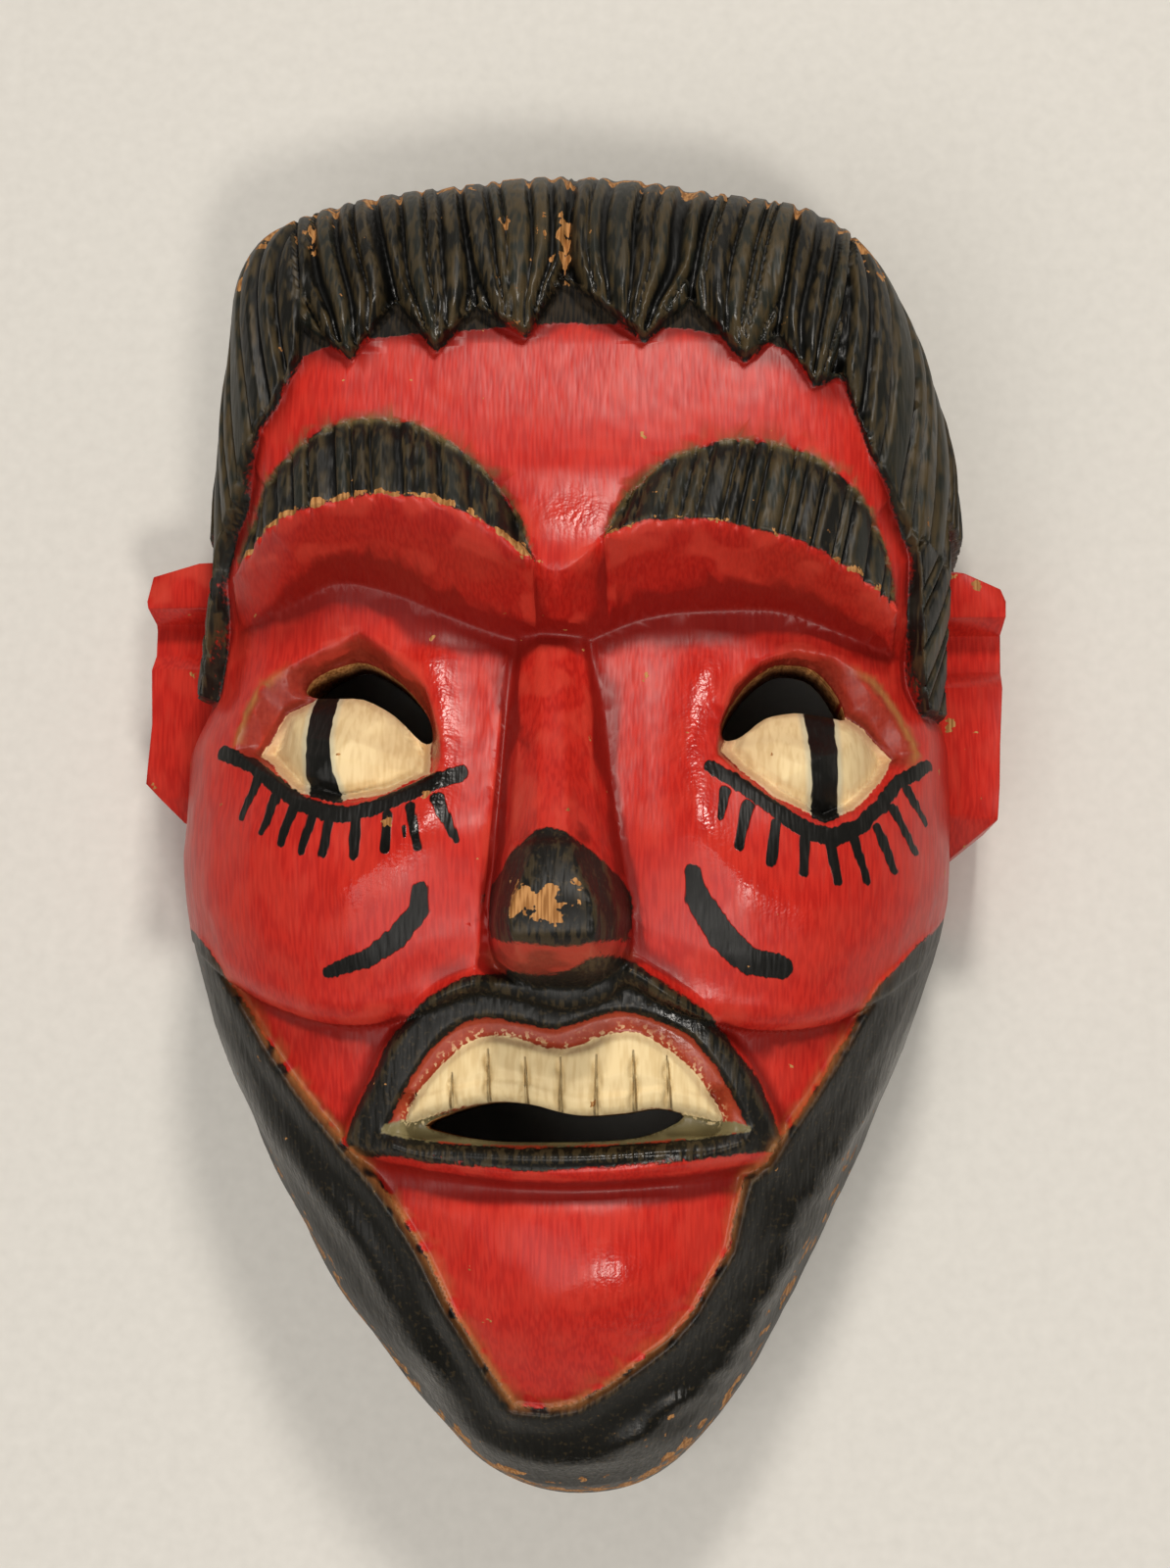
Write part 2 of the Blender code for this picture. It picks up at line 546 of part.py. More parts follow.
def prismSolid(name, ring, axis, low, high, smooth=True):
    outline = smoothCurve(ring, True, 2) if smooth else np.array(ring, float)
    bm = bmesh.new()
    verts = []
    for a, b in outline:
        place = (a, b, low) if axis == "z" else (low, a, b)
        verts.append(bm.verts.new([c * 0.001 for c in place]))
    face = bm.faces.new(verts)
    lifted = bmesh.ops.extrude_face_region(bm, geom=[face])
    top = [item for item in lifted["geom"] if isinstance(item, bmesh.types.BMVert)]
    step = (high - low) * 0.001
    bmesh.ops.translate(bm, verts=top, vec=(0, 0, step) if axis == "z" else (step, 0, 0))
    bmesh.ops.recalc_face_normals(bm, faces=bm.faces)
    mesh = bpy.data.meshes.new(name)
    bm.to_mesh(mesh)
    bm.free()
    item = bpy.data.objects.new(name, mesh)
    bpy.context.scene.collection.objects.link(item)
    return item


def hollowPoints(cells):
    reach, angle = discPoints(cells)
    sharp = np.full(reach.shape, hollowSharpness)
    rho, high = blankProfile(reach, sharp, hollowSharpness, hollowSharpness)
    radius = rimRadius(angle) - rimWall
    x = rho * radius * np.cos(angle)
    y = middleY + rho * radius * np.sin(angle)
    top = along(hollowHeight, y)
    pocket = nosePocket * np.exp(-((x + 0.5) / 10.0) ** 2 - ((y + 22.0) / 15.0) ** 2)
    return np.stack([x, y, high * (top + pocket)], -1)


def earSolid(name, front, side, outward):
    ear = prismSolid(name, front, "z", earLow, earHigh, False)
    low, high = (earInner, earOuter) if outward > 0 else (-earOuter, -earInner)
    cutBy(ear, prismSolid(name + " side", side, "x", low, high, False), "INTERSECT")
    middle = sum(y for y, z in side) / len(side)
    turns = np.linspace(0, 2 * math.pi, 13)[:-1]
    oval = [(middle + 15 * math.cos(t), 21.5 + 7.5 * math.sin(t)) for t in turns]
    start = earScoopEdge - earScoop if outward > 0 else -earOuter
    end = start + earOuter - earScoopEdge + earScoop
    cutBy(ear, prismSolid(name + " scoop", oval, "x", start, end, False), "DIFFERENCE")
    return ear


def weld(item):
    bm = bmesh.new()
    bm.from_mesh(item.data)
    bmesh.ops.remove_doubles(bm, verts=bm.verts, dist=0.00005)
    bmesh.ops.dissolve_degenerate(bm, edges=bm.edges, dist=0.00002)
    bmesh.ops.triangulate(bm, faces=bm.faces)
    bm.to_mesh(item.data)
    count = len(bm.faces)
    bm.free()
    return count


def cutBy(target, tool, operation):
    step = target.modifiers.new(tool.name, "BOOLEAN")
    step.operation = operation
    step.solver = "EXACT"
    step.object = tool
    bpy.context.view_layer.objects.active = target
    bpy.ops.object.modifier_apply(modifier=step.name)
    bpy.data.objects.remove(tool, do_unlink=True)
    weld(target)


def thinOut(item, triangles):
    count = weld(item)
    step = item.modifiers.new("thin out", "DECIMATE")
    step.ratio = triangles / count
    bpy.context.view_layer.objects.active = item
    bpy.ops.object.modifier_apply(modifier=step.name)


def paintedWood():
    material = bpy.data.materials.new("painted wood")
    material.use_nodes = True
    shader = material.node_tree.nodes["Principled BSDF"]
    shader.inputs["Base Color"].default_value = (0.48, 0.014, 0.013, 1.0)
    shader.inputs["Roughness"].default_value = 0.42
    return material


def buildMask():
    mask = gridSolid("mask", carve(gridCells), None)
    cutBy(mask, earSolid("left ear", earFrontLeft, earSideLeft, -1), "UNION")
    cutBy(mask, earSolid("right ear", earFrontRight, earSideRight, 1), "UNION")
    cutBy(mask, gridSolid("hollow", hollowPoints(innerCells), -6.0), "DIFFERENCE")
    cutBy(mask, prismSolid("left slit", slitLeft, "z", slitFoot, slitTop), "DIFFERENCE")
    cutBy(mask, prismSolid("right slit", slitRight, "z", slitFoot, slitTop), "DIFFERENCE")
    cutBy(mask, prismSolid("mouth slot", slotLine, "z", slitFoot, slitTop), "DIFFERENCE")
    thinOut(mask, finalTriangles)
    for vert in mask.data.vertices:
        if vert.co.z < 0.0004:
            vert.co.z = 0.0
        vert.co.x += shiftX * 0.001
        vert.co.y += shiftY * 0.001
    mask.data.materials.append(paintedWood())
    mask.location = (0.0, 0.0, 0.0)
    return mask


removeOldObjects()
buildMask()
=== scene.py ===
import math
from functools import partial

import bpy
import numpy as np
from mathutils import Matrix, Vector
from mathutils.bvhtree import BVHTree


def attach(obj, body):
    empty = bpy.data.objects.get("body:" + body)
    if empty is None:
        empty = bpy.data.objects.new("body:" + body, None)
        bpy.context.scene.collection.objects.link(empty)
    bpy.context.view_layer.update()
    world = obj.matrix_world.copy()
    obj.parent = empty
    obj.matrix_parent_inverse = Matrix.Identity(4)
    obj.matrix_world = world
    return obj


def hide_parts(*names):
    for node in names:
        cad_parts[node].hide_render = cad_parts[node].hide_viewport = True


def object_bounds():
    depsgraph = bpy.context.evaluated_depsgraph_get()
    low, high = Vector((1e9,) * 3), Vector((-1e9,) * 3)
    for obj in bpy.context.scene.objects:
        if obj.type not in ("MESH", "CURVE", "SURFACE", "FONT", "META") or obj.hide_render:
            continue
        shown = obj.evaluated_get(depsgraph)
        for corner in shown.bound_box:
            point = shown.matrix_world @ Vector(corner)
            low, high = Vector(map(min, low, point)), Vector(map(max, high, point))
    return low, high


# Carved and painted wooden mask, lying face up on a pale floor.
# Sizes are millimetres from the carver's middle line: x to the viewer's right, y toward the hair,
# z out of the face.

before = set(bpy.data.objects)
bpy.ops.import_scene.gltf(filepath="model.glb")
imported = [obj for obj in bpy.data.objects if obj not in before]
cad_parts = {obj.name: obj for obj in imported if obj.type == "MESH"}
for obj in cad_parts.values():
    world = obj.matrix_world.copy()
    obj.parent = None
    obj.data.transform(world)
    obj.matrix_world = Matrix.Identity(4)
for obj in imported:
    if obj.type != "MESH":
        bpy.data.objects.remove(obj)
cadLow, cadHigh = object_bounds()
print("frame loaded")

place = {
    "shiftX": 0.11,     # from the carver's middle line to the frame
    "shiftY": 8.77,
    "middleY": -10.0,   # the rim is measured round this point
}
quality = {
    "cells": 720,
    "hollowCells": 220,
    "triangles": 192000,
}


# helpers for curves and distances

def smoothStep(low, high, value):
    t = np.clip((value - low) / (high - low), 0.0, 1.0)
    return t * t * (3.0 - 2.0 * t)


def ramp(low, high, value):
    return np.clip((value - low) / (high - low), 0.0, 1.0)


def bump(value, middle, width):
    return np.exp(-((value - middle) / width) ** 2)


def smoothCurve(points, closed=False, steps=6):
    pts = np.array(points, float)
    count = len(pts)
    out = []
    for i in range(count if closed else count - 1):
        p1 = pts[i]
        p2 = pts[(i + 1) % count]
        p0 = pts[(i - 1) % count] if closed or i > 0 else 2 * p1 - p2
        p3 = pts[(i + 2) % count] if closed or i + 2 < count else 2 * p2 - p1
        for t in np.arange(steps) / steps:
            out.append(0.5 * (2 * p1 + (p2 - p0) * t + (2 * p0 - 5 * p1 + 4 * p2 - p3) * t * t
                              + (3 * p1 - p0 - 3 * p2 + p3) * t ** 3))
    if not closed:
        out.append(pts[-1])
    return np.array(out)


def along(points, value):
    curve = smoothCurve(points)
    order = np.argsort(curve[:, 0], kind="stable")
    return np.interp(value, curve[order, 0], curve[order, 1])


def lineDistance(points, x, y, smooth=True, closed=False):
    ring = smoothCurve(points, closed, 4) if smooth else np.array(points, float)
    ends = np.roll(ring, -1, 0) if closed else ring[1:]
    nearest = np.full(x.shape, 1e9)
    for (ax, ay), (bx, by) in zip(ring, ends):
        dx = bx - ax
        dy = by - ay
        t = np.clip(((x - ax) * dx + (y - ay) * dy) / (dx * dx + dy * dy + 1e-12), 0, 1)
        nearest = np.minimum(nearest, (x - ax - t * dx) ** 2 + (y - ay - t * dy) ** 2)
    return np.sqrt(nearest)


def insideDistance(points, x, y, smooth=True):
    ring = smoothCurve(points, True, 3) if smooth else np.array(points, float)
    nearest = lineDistance(ring, x, y, False, True)
    inside = np.zeros(x.shape, bool)
    for (ax, ay), (bx, by) in zip(ring, np.roll(ring, -1, 0)):
        if ay != by:
            inside ^= ((ay > y) != (by > y)) & (x < (bx - ax) * (y - ay) / (by - ay) + ax)
    return np.where(inside, nearest, -nearest)


def scatter(i, j, seed):
    value = np.sin(i * 127.1 + j * 311.7 + seed * 74.7) * 43758.5453
    return value - np.floor(value)


def knifeDishes(x, y, wide, high, seed):
    # every stroke leaves a shallow dish: 0 in its middle, 1 on the ridge between two dishes
    gx = x / wide
    gy = y / high
    best = np.full(x.shape, 9.0)
    for di in (-1, 0, 1):
        for dj in (-1, 0, 1):
            i = np.floor(gx) + di
            j = np.floor(gy) + dj
            away = (gx - i - scatter(i, j, seed)) ** 2 + (gy - j - scatter(i, j, seed + 9)) ** 2
            best = np.minimum(best, away)
    return np.clip(best / 0.55, 0, 1)


def softNoise(x, y, size, seed):
    # slow unevenness from a few crossed waves
    rng = np.random.default_rng(seed)
    total = np.zeros(x.shape)
    for k in range(7):
        turn = rng.uniform(0, 2 * math.pi)
        length = size * rng.uniform(0.7, 1.8)
        phase = rng.uniform(0, 2 * math.pi)
        total += np.sin((x * math.cos(turn) + y * math.sin(turn)) * 2 * math.pi / length + phase)
    return total / 4.0


# camera at the photo's angle, lights and floor

view = {
    "far": 0.520,               # metres from the face
    "turn": 2.5,                # degrees toward the viewer's right
    "tilt": 8.0,                # degrees toward the chin
    "aim": (0.0, 0.0, 50.0),    # the point of the mask it is aimed at
    "lens": 58.5,
    "sensor": 36.0,
    "aimOffset": 14.0,          # the aimed point is this many pixels left of the picture's middle
    "pictureHigh": 1600.0,
}


def inFrame(x, y, z):
    return Vector(((x + place["shiftX"]) * 0.001, (y + place["shiftY"]) * 0.001, z * 0.001))


def makeCamera():
    yaw = math.radians(view["turn"])
    pitch = math.radians(view["tilt"])
    back = Vector((math.sin(yaw) * math.cos(pitch), -math.sin(pitch), math.cos(yaw) * math.cos(pitch)))
    right = Vector((back.z, 0.0, -back.x)).normalized()
    up = back.cross(right)
    data = bpy.data.cameras.new("camera")
    data.sensor_width = view["sensor"]
    data.lens = view["lens"]
    data.shift_x = view["aimOffset"] / view["pictureHigh"]
    data.clip_start = 0.01
    data.clip_end = 20.0
    camera = bpy.data.objects.new("camera", data)
    bpy.context.scene.collection.objects.link(camera)
    turn = Matrix((right, up, back)).transposed()
    camera.matrix_world = Matrix.Translation(inFrame(*view["aim"]) + back * view["far"]) @ turn.to_4x4()
    bpy.context.scene.camera = camera


lamps = {
    # name: place in metres, width, height, watts, colour
    "key": ((0.14, 0.90, 1.04), 0.20, 0.20, 10.0, (1.0, 0.95, 0.88)),
    "fill": ((-0.35, -0.45, 1.18), 0.8, 0.8, 6.0, (1.0, 0.97, 0.93)),
    "low": ((0.22, -0.46, 1.03), 0.14, 0.14, 4.4, (1.0, 0.95, 0.88)),
}


def makeLamps():
    for name, (where, wide, high, watts, tint) in lamps.items():
        data = bpy.data.lights.new(name, "AREA")
        data.shape = "RECTANGLE"
        data.size = wide
        data.size_y = high
        data.energy = watts
        data.color = tint
        lamp = bpy.data.objects.new(name, data)
        bpy.context.scene.collection.objects.link(lamp)
        lamp.location = where
        aim = Vector((0.0, 0.0, 0.05)) - Vector(where)
        lamp.rotation_mode = "QUATERNION"
        lamp.rotation_quaternion = aim.to_track_quat("-Z", "Y")
    world = bpy.data.worlds.new("studio")
    world.use_nodes = True
    world.node_tree.nodes["Background"].inputs["Color"].default_value = (0.88, 0.86, 0.82, 1.0)
    world.node_tree.nodes["Background"].inputs["Strength"].default_value = 0.18
    bpy.context.scene.world = world
    bpy.context.scene.view_settings.view_transform = "Standard"


makeCamera()
makeLamps()
print("camera and lamps placed")

# the uncut block: its rim outline, the height of its front, and how square it is

block = {
    "rim": [(4, 128), (31, 124.5), (51, 120), (63.5, 110.5), (73, 93), (79.5, 75.5), (82.8, 57), (82, 38),
            (80, 14), (79.6, -12), (77.5, -30), (66.2, -60), (47, -101), (32, -126.5), (17, -141.5),
            (0, -145.6), (-15, -142), (-29, -130), (-51, -101), (-72, -60), (-82, -27), (-82.7, 0),
            (-80.5, 30), (-77.5, 60), (-73, 88), (-69.6, 108.8), (-59.8, 119.0), (-35, 125.6)],
    "front": [(-150, 66), (-130, 72), (-100, 80), (-70, 84), (-30, 86), (20, 87), (60, 90), (100, 88),
              (128, 86)],
    "sideSharpness": 3.5,
    "topSharpness": 6.0,
    "rimWall": 11.0,
    "knifeWide": 8.5,     # the dishes that the knife left on the red faces
    "knifeHigh": 13.0,
    "knifeDeep": 0.32,
    "uneven": 0.35,
}


def rimRadius(angle):
    curve = smoothCurve(block["rim"], True, 8)
    a = np.arctan2(curve[:, 1] - place["middleY"], curve[:, 0])
    r = np.hypot(curve[:, 0], curve[:, 1] - place["middleY"])
    order = np.argsort(a)
    a = a[order]
    r = r[order]
    a = np.concatenate([a - 2 * math.pi, a, a + 2 * math.pi])
    return np.interp(angle, a, np.tile(r, 3))


def profileTable(sharpness):
    t = np.linspace(0, math.pi / 2, 2001)
    rho = np.sin(t) ** (2 / sharpness)
    high = np.cos(t) ** (2 / sharpness)
    high[-1] = 0.0
    length = np.concatenate([[0], np.cumsum(np.hypot(np.diff(rho) * 95, np.diff(high) * 85))])
    return length / length[-1], rho, high


def blockProfile(reach, sharpness, lowest, highest):
    levels = np.linspace(lowest, highest, 6)
    step = 0 * reach
    if highest > lowest:
        step = (np.clip(sharpness, lowest, highest) - lowest) / (highest - lowest) * 5
    rho = np.zeros(reach.shape)
    high = np.zeros(reach.shape)
    for i, level in enumerate(levels):
        s, r, h = profileTable(level)
        weight = np.clip(1 - np.abs(step - i), 0, 1)
        rho += weight * np.interp(reach, s, r)
        high += weight * np.interp(reach, s, h)
    return rho, high


def discPoints(cells):
    line = np.linspace(-1, 1, cells + 1)
    v, u = np.meshgrid(line, line, indexing="ij")
    dx = u * np.sqrt(1 - v * v / 2)
    dy = v * np.sqrt(1 - u * u / 2)
    return np.clip(np.hypot(dx, dy), 0, 1), np.arctan2(dy, dx)


def uncutSkin(cells):
    reach, angle = discPoints(cells)
    low = block["sideSharpness"]
    top = block["topSharpness"]
    sharp = low + (top - low) * smoothStep(0.6, 0.92, np.sin(angle))
    rho, high = blockProfile(reach, sharp, low, top)
    radius = rimRadius(angle)
    x = rho * radius * np.cos(angle)
    y = place["middleY"] + rho * radius * np.sin(angle)
    return x, y, high, along(block["front"], y)


def skinNormals(x, y, z):
    point = np.stack([x, y, z], -1)
    normal = np.cross(np.gradient(point, axis=1), np.gradient(point, axis=0))
    return normal / np.maximum(np.linalg.norm(normal, axis=-1, keepdims=True), 1e-9)


# hair: locks on the forehead, long strands down both sides, sideburns

hair = {
    "partingTops": [(-57, 118), (-40, 121), (-22.5, 124), (1.5, 126), (30, 123), (47.5, 118), (59, 112)],
    "partingValleys": [(-52.2, 88.6), (-33.3, 92.8), (-17.4, 91.0), (-0.1, 97.3), (24.7, 92.4),
                       (42.0, 84.2), (54.6, 76.2)],
    "lockTips": [(-41.7, 80.1), (-25.0, 81.6), (-7.4, 84.4), (15.7, 83.5), (35.4, 78.7), (48.6, 74.0),
                 (60.0, 60.5)],
    "strandsPerLock": [4, 4, 5, 6, 5, 3],
    "leftEdge": [(-52.2, 88.6), (-52.5, 80.2), (-57.0, 71.8), (-61.4, 66.7), (-65.5, 60.0), (-67.4, 54.7),
                 (-71.3, 50.0), (-73.6, 44.0), (-74.6, 26.5), (-76.1, 18.0)],
    "rightEdge": [(54.6, 76.2), (60.0, 59.9), (64.1, 54.6), (68.0, 48.4), (69.7, 43.9), (70.9, 36.6),
                  (70.8, 21.6), (72.5, 13.0)],
    "paintLine": [(-58, 72.0), (-52.3, 80.9), (-48.1, 82.3), (-34.0, 85.0), (-16.3, 86.1), (2.9, 87.4),
                  (23.9, 86.0), (42.0, 81.5), (57.7, 72.8), (60, 60)],
    "depth": 5.0,          # the forehead lies this much below the hair
    "underCut": 1.6,       # the ground between two tips is cut a little deeper still
    "strandDepth": 3.1,
    "cutShare": (0.17, 0.36),    # how much of a strand's width the steep and the easy wall of a cut take
    "lockRise": 2.4,
    "bevel": 1.5,          # chamfer along the edge of every lock
    "sidePitch": 8.2,
    "sideCutShare": (0.14, 0.36),
    "sideTurn": 17.0,      # degrees between the side strands and the outline
    "burnTop": 45.0,       # below this the sideburns are twisted like rope
    "burnPitch": 8.6,
    "burnSlope": 1.6,
    "sideFoot": 52.0,
}


def unevenPlace(share, seed):
    return share + 0.16 * np.sin(share * 2.3 + seed) + 0.10 * np.sin(share * 4.1 + 2.0 * seed)


def strandCut(share, seed, steepSide, easySide):
    # 0 on the face of a strand, about 1 at the bottom of the V cut; the knife leans, so one wall is wider
    rng = np.random.default_rng(seed)
    leans = rng.uniform(-1, 1, 512)
    deeps = rng.uniform(0.70, 1.05, 512)
    widths = rng.uniform(0.75, 1.25, (2, 512))
    turned = rng.uniform(0, 1, 512) < 0.25
    number = np.floor(share).astype(int)
    t = share - number
    number = number % 512
    after = (number + 1) % 512
    tones = rng.uniform(0, 1, 512)
    leftWall = bluntCut(t, beside(turned, number, steepSide, easySide) * widths[1, number],
                        beside(turned, number, easySide, steepSide) * widths[0, number])
    rightWall = bluntCut(t - 1, beside(turned, after, steepSide, easySide) * widths[1, after],
                         beside(turned, after, easySide, steepSide) * widths[0, after])
    wall = np.maximum(leftWall, rightWall)
    deep = np.where(leftWall > rightWall, deeps[number], deeps[after])
    lean = 0.42 * leans[number] * (t - 0.5)
    return wall * deep + lean * (1 - wall), wall, tones[number]


def beside(turned, number, whenTurned, otherwise):
    return np.where(turned[number], whenTurned, otherwise)


def bluntCut(away, before, behind, blunt=0.07):
    # a V whose bottom and edges are as blunt as the knife left them: before and behind are its walls' widths
    def filled(d):
        left = np.clip(d + before, 0, before) ** 2 / (2 * before)
        reach = np.clip(d, 0, behind)
        return left + reach - reach ** 2 / (2 * behind)
    return (filled(away + blunt) - filled(away - blunt)) / (2 * blunt)


def hairPlaces(x, y, z):
    valleys = hair["partingValleys"]
    tips = hair["lockTips"]
    lower = np.interp(x, *np.array(sorted(valleys + tips)).T)
    front = (x > valleys[0][0]) & (x < tips[-1][0])
    amount = np.where(front, (y - lower) * 0.75, -50.0)
    leftEdge = [(-120, 150), (-52.2, 150)] + hair["leftEdge"] + [(-120, 18.0)]
    rightEdge = [(120, 150), (tips[-1][0] - 5.4, 150)] + hair["rightEdge"] + [(120, 13.0)]
    side = np.maximum(insideDistance(leftEdge, x, y, False), insideDistance(rightEdge, x, y, False))
    wall = np.maximum(y - hair["sideFoot"], z - np.interp(y, [10, 20, 50], [49, 51, 57]))
    side = np.minimum(side, wall)
    return np.maximum(amount, side), amount


def hairStrands(x, y, z):
    cut = np.zeros(x.shape)
    wall = np.zeros(x.shape)
    tone = np.zeros(x.shape)
    yy = np.clip(y, 60, 124)
    lines = []
    for (tx, ty), (vx, vy) in zip(hair["partingTops"], hair["partingValleys"]):
        lines.append(tx + (vx - tx) * (ty - yy) / (ty - vy)
                     * np.where(yy < vy, 0.6 + 0.4 * (ty - vy) / (ty - yy + 1e-9), 1))
    for i, count in enumerate(hair["strandsPerLock"]):
        q = (x - lines[i]) / (lines[i + 1] - lines[i])
        use = (q >= 0) & (q < 1)
        tip = hair["lockTips"][i]
        level = max(hair["partingValleys"][i][1], hair["partingValleys"][i + 1][1])
        narrow = 1.0 - 0.5 * smoothStep(level + 6.0, tip[1] - 1.0, y)
        across = 0.5 + (q - 0.5) / narrow
        share = unevenPlace(across * count + 0.16 * np.sin(y * 0.13 + i * 1.9), i * 1.3)
        lockCut, lockWall, lockTone = strandCut(share + 50.0, 11 + i, *hair["cutShare"])
        tone = np.where(use, lockTone, tone)
        cut = np.where(use, lockCut, cut)
        wall = np.where(use, lockWall, wall)
        parting = smoothStep(1.4, 0.0, np.minimum(q, 1 - q) * (lines[i + 1] - lines[i]))
        cut = np.where(use, np.maximum(cut, parting * 1.1), cut)
        wall = np.where(use, np.maximum(wall, parting), wall)
    outer = (x < lines[0]) | (x > lines[-1])
    turn = math.radians(hair["sideTurn"])
    around = np.abs(x) + 0.8 * (along(block["front"], y) - z)
    share = (around * math.cos(turn) - y * math.sin(turn)) / hair["sidePitch"] + 0.06 * np.sin(y * 0.11)
    twisted = (y + hair["burnSlope"] * z) / hair["burnPitch"] + 0.05 * np.sin(z * 0.25)
    share = np.where(y - 0.3 * z < hair["burnTop"] - 20.0, twisted, share)
    sideCut, sideWall, sideTone = strandCut(unevenPlace(share, 0.7) + 50.0, 31, *hair["sideCutShare"])
    cut = np.where(outer, sideCut, cut)
    wall = np.where(outer, sideWall, wall)
    return cut, wall, np.where(outer, sideTone, tone)


def lockLift(x, hairFront):
    lift = np.zeros(x.shape)
    valleys = hair["partingValleys"]
    for (vx, vy), (wx, wy) in zip(valleys[:-1], valleys[1:]):
        across = 1 - np.abs(2 * (x - vx) / (wx - vx) - 1)
        lift = np.where((x > vx) & (x < wx), smoothStep(0, 0.8, across) - 0.6, lift)
    lift = lift * hair["lockRise"] * smoothStep(20, 3, hairFront) * smoothStep(-0.5, 0.5, hairFront)
    return lift - hair["bevel"] * ramp(3.0, 0.0, hairFront) * smoothStep(-0.5, 0.4, hairFront)


# brows: crescents whose strands end in a chipped overhang

brows = {
    "topLeft": [(-70.5, 44.5), (-61.3, 55.0), (-54.7, 60.4), (-46.8, 65.6), (-38.1, 67.3), (-29.4, 66.1),
                (-21.8, 61.7), (-14.1, 55.1), (-8.4, 46.5), (-5.4, 38.0)],
    "topRight": [(8.0, 42.5), (12.4, 51.0), (19.9, 58.0), (31.3, 61.8), (40.7, 61.4), (50.1, 57.8),
                 (57.8, 51.7), (62.8, 44.3), (65.8, 33.0)],
    "foot": [(-76, 40.5), (-68.4, 42.3), (-55.8, 46.7), (-47.6, 48.4), (-36.0, 50.2), (-24.8, 49.1),
             (-17.3, 45.8), (-9.9, 40.7), (-5.2, 37.3), (-1.6, 35.2), (2.2, 36.5), (8.2, 41.5),
             (16.2, 44.5), (27.3, 44.4), (42.1, 41.6), (55.4, 36.2), (64.3, 31.4), (74, 28.5)],
    "overhang": [(-76, 32), (-66, 31.5), (-55.1, 34.4), (-45.5, 37.6), (-34.5, 35.2), (-24.8, 31.1),
                 (-15.1, 27.2), (-8, 25.2), (-2.5, 24.6), (4, 25.0), (12, 28.5), (19.7, 30.4),
                 (31.2, 31.2), (42.8, 31.0), (54, 27.5), (66, 23.5), (74, 22)],
    "rise": 5.0,
    "topStep": 1.3,        # the cut along the upper edge of a brow
    "strands": 15,
    "cutShare": (0.17, 0.32),
    "strandDepth": 2.1,
    "lean": (0.10, -0.22),
    "planeDepth": [(-40, -1.0), (-18, 0.0), (-5, -3.0), (8, -7.5), (20, -12.0), (30, -15.0), (60, -16.0)],
}


def browEdges(x, top):
    edge = np.where((x > top[0][0]) & (x < top[-1][0]), along(top, x), -999.0)
    return edge, along(brows["foot"], x)


def browPlaces(x, y):
    inside = np.full(x.shape, -50.0)
    belowTop = np.full(x.shape, -50.0)
    for top in (brows["topLeft"], brows["topRight"]):
        foot = [spot for spot in reversed(brows["foot"]) if top[0][0] - 1 < spot[0] < top[-1][0] + 1]
        crescent = top + foot
        inside = np.maximum(inside, insideDistance(crescent, x, y, False))
        belowTop = np.maximum(belowTop, browEdges(x, top)[0] - y)
    return inside, belowTop


def browStrands(x, y):
    cut = np.zeros(x.shape)
    wall = np.zeros(x.shape)
    tone = np.zeros(x.shape)
    for k, top in enumerate((brows["topLeft"], brows["topRight"])):
        edge, low = browEdges(x, top)
        on = smoothStep(-0.1, 0.6, edge - y) * smoothStep(-1.4, 0.2, y - low)
        share = (x - top[0][0] + brows["lean"][k] * (y - 50)) / (top[-1][0] - top[0][0]) * brows["strands"]
        one, edgeWall, shade = strandCut(unevenPlace(share, 2.1 + k) + 50.0, 51 + k, *brows["cutShare"])
        cut += one * on
        wall += edgeWall * on
        tone += shade * on
    return cut, wall, tone


# nose, and the trough between the cheeks that it stands in

nose = {
    "ridge": [(-43.6, 83), (-42.2, 91), (-40.0, 102), (-37.0, 110.6), (-34.0, 112.8), (-28.0, 112.4),
              (-20.0, 108.0), (-16.5, 104.0), (-8.0, 98.5), (10.0, 86.5), (24.0, 76.0), (30.0, 73.5)],
    "ridgeHalf": [(-43, 4.5), (-37, 7.0), (-32, 7.6), (-25, 5.2), (-17, 3.0), (-8, 2.8), (10, 2.2),
                  (26, 2.4)],
    "footHalf": [(-43.6, 4.0), (-41.5, 9.4), (-38, 13.2), (-30, 13.8), (-20, 12.6), (-8, 11.4),
                 (10, 10.0), (26, 8.6)],
    "middle": [(-43, -0.6), (-30, -0.6), (-8, -1.4), (10, -2.0), (26, -2.8)],
    "shoulder": 0.55,      # share of the flank where its slope breaks
    "shoulderDrop": 0.30,  # share of the height lost by then
    "trough": 4.5,
    "blackPatch": [(-4.2, -16.0), (0.6, -16.2), (3.5, -18.2), (7.2, -20.5), (11.8, -24.6), (15.0, -29.0),
                   (14.2, -34.2), (7.4, -36.8), (1.3, -37.4), (-4.5, -37.2), (-12.0, -35.6),
                   (-18.0, -31.0), (-16.6, -26.4), (-11.6, -23.0), (-7.8, -19.0)],
    "blackAbove": 86.0,
    "arrisLeft": [(-42, -17.0), (-39, -16.6), (-23.7, -14.8), (-4.8, -13.5), (15.9, -12.0), (25.2, -11.2)],
    "arrisRight": [(-42, 12.6), (-37.4, 12.2), (-23.8, 10.8), (-4.9, 9.3), (11.8, 7.2), (26.0, 5.6)],
}


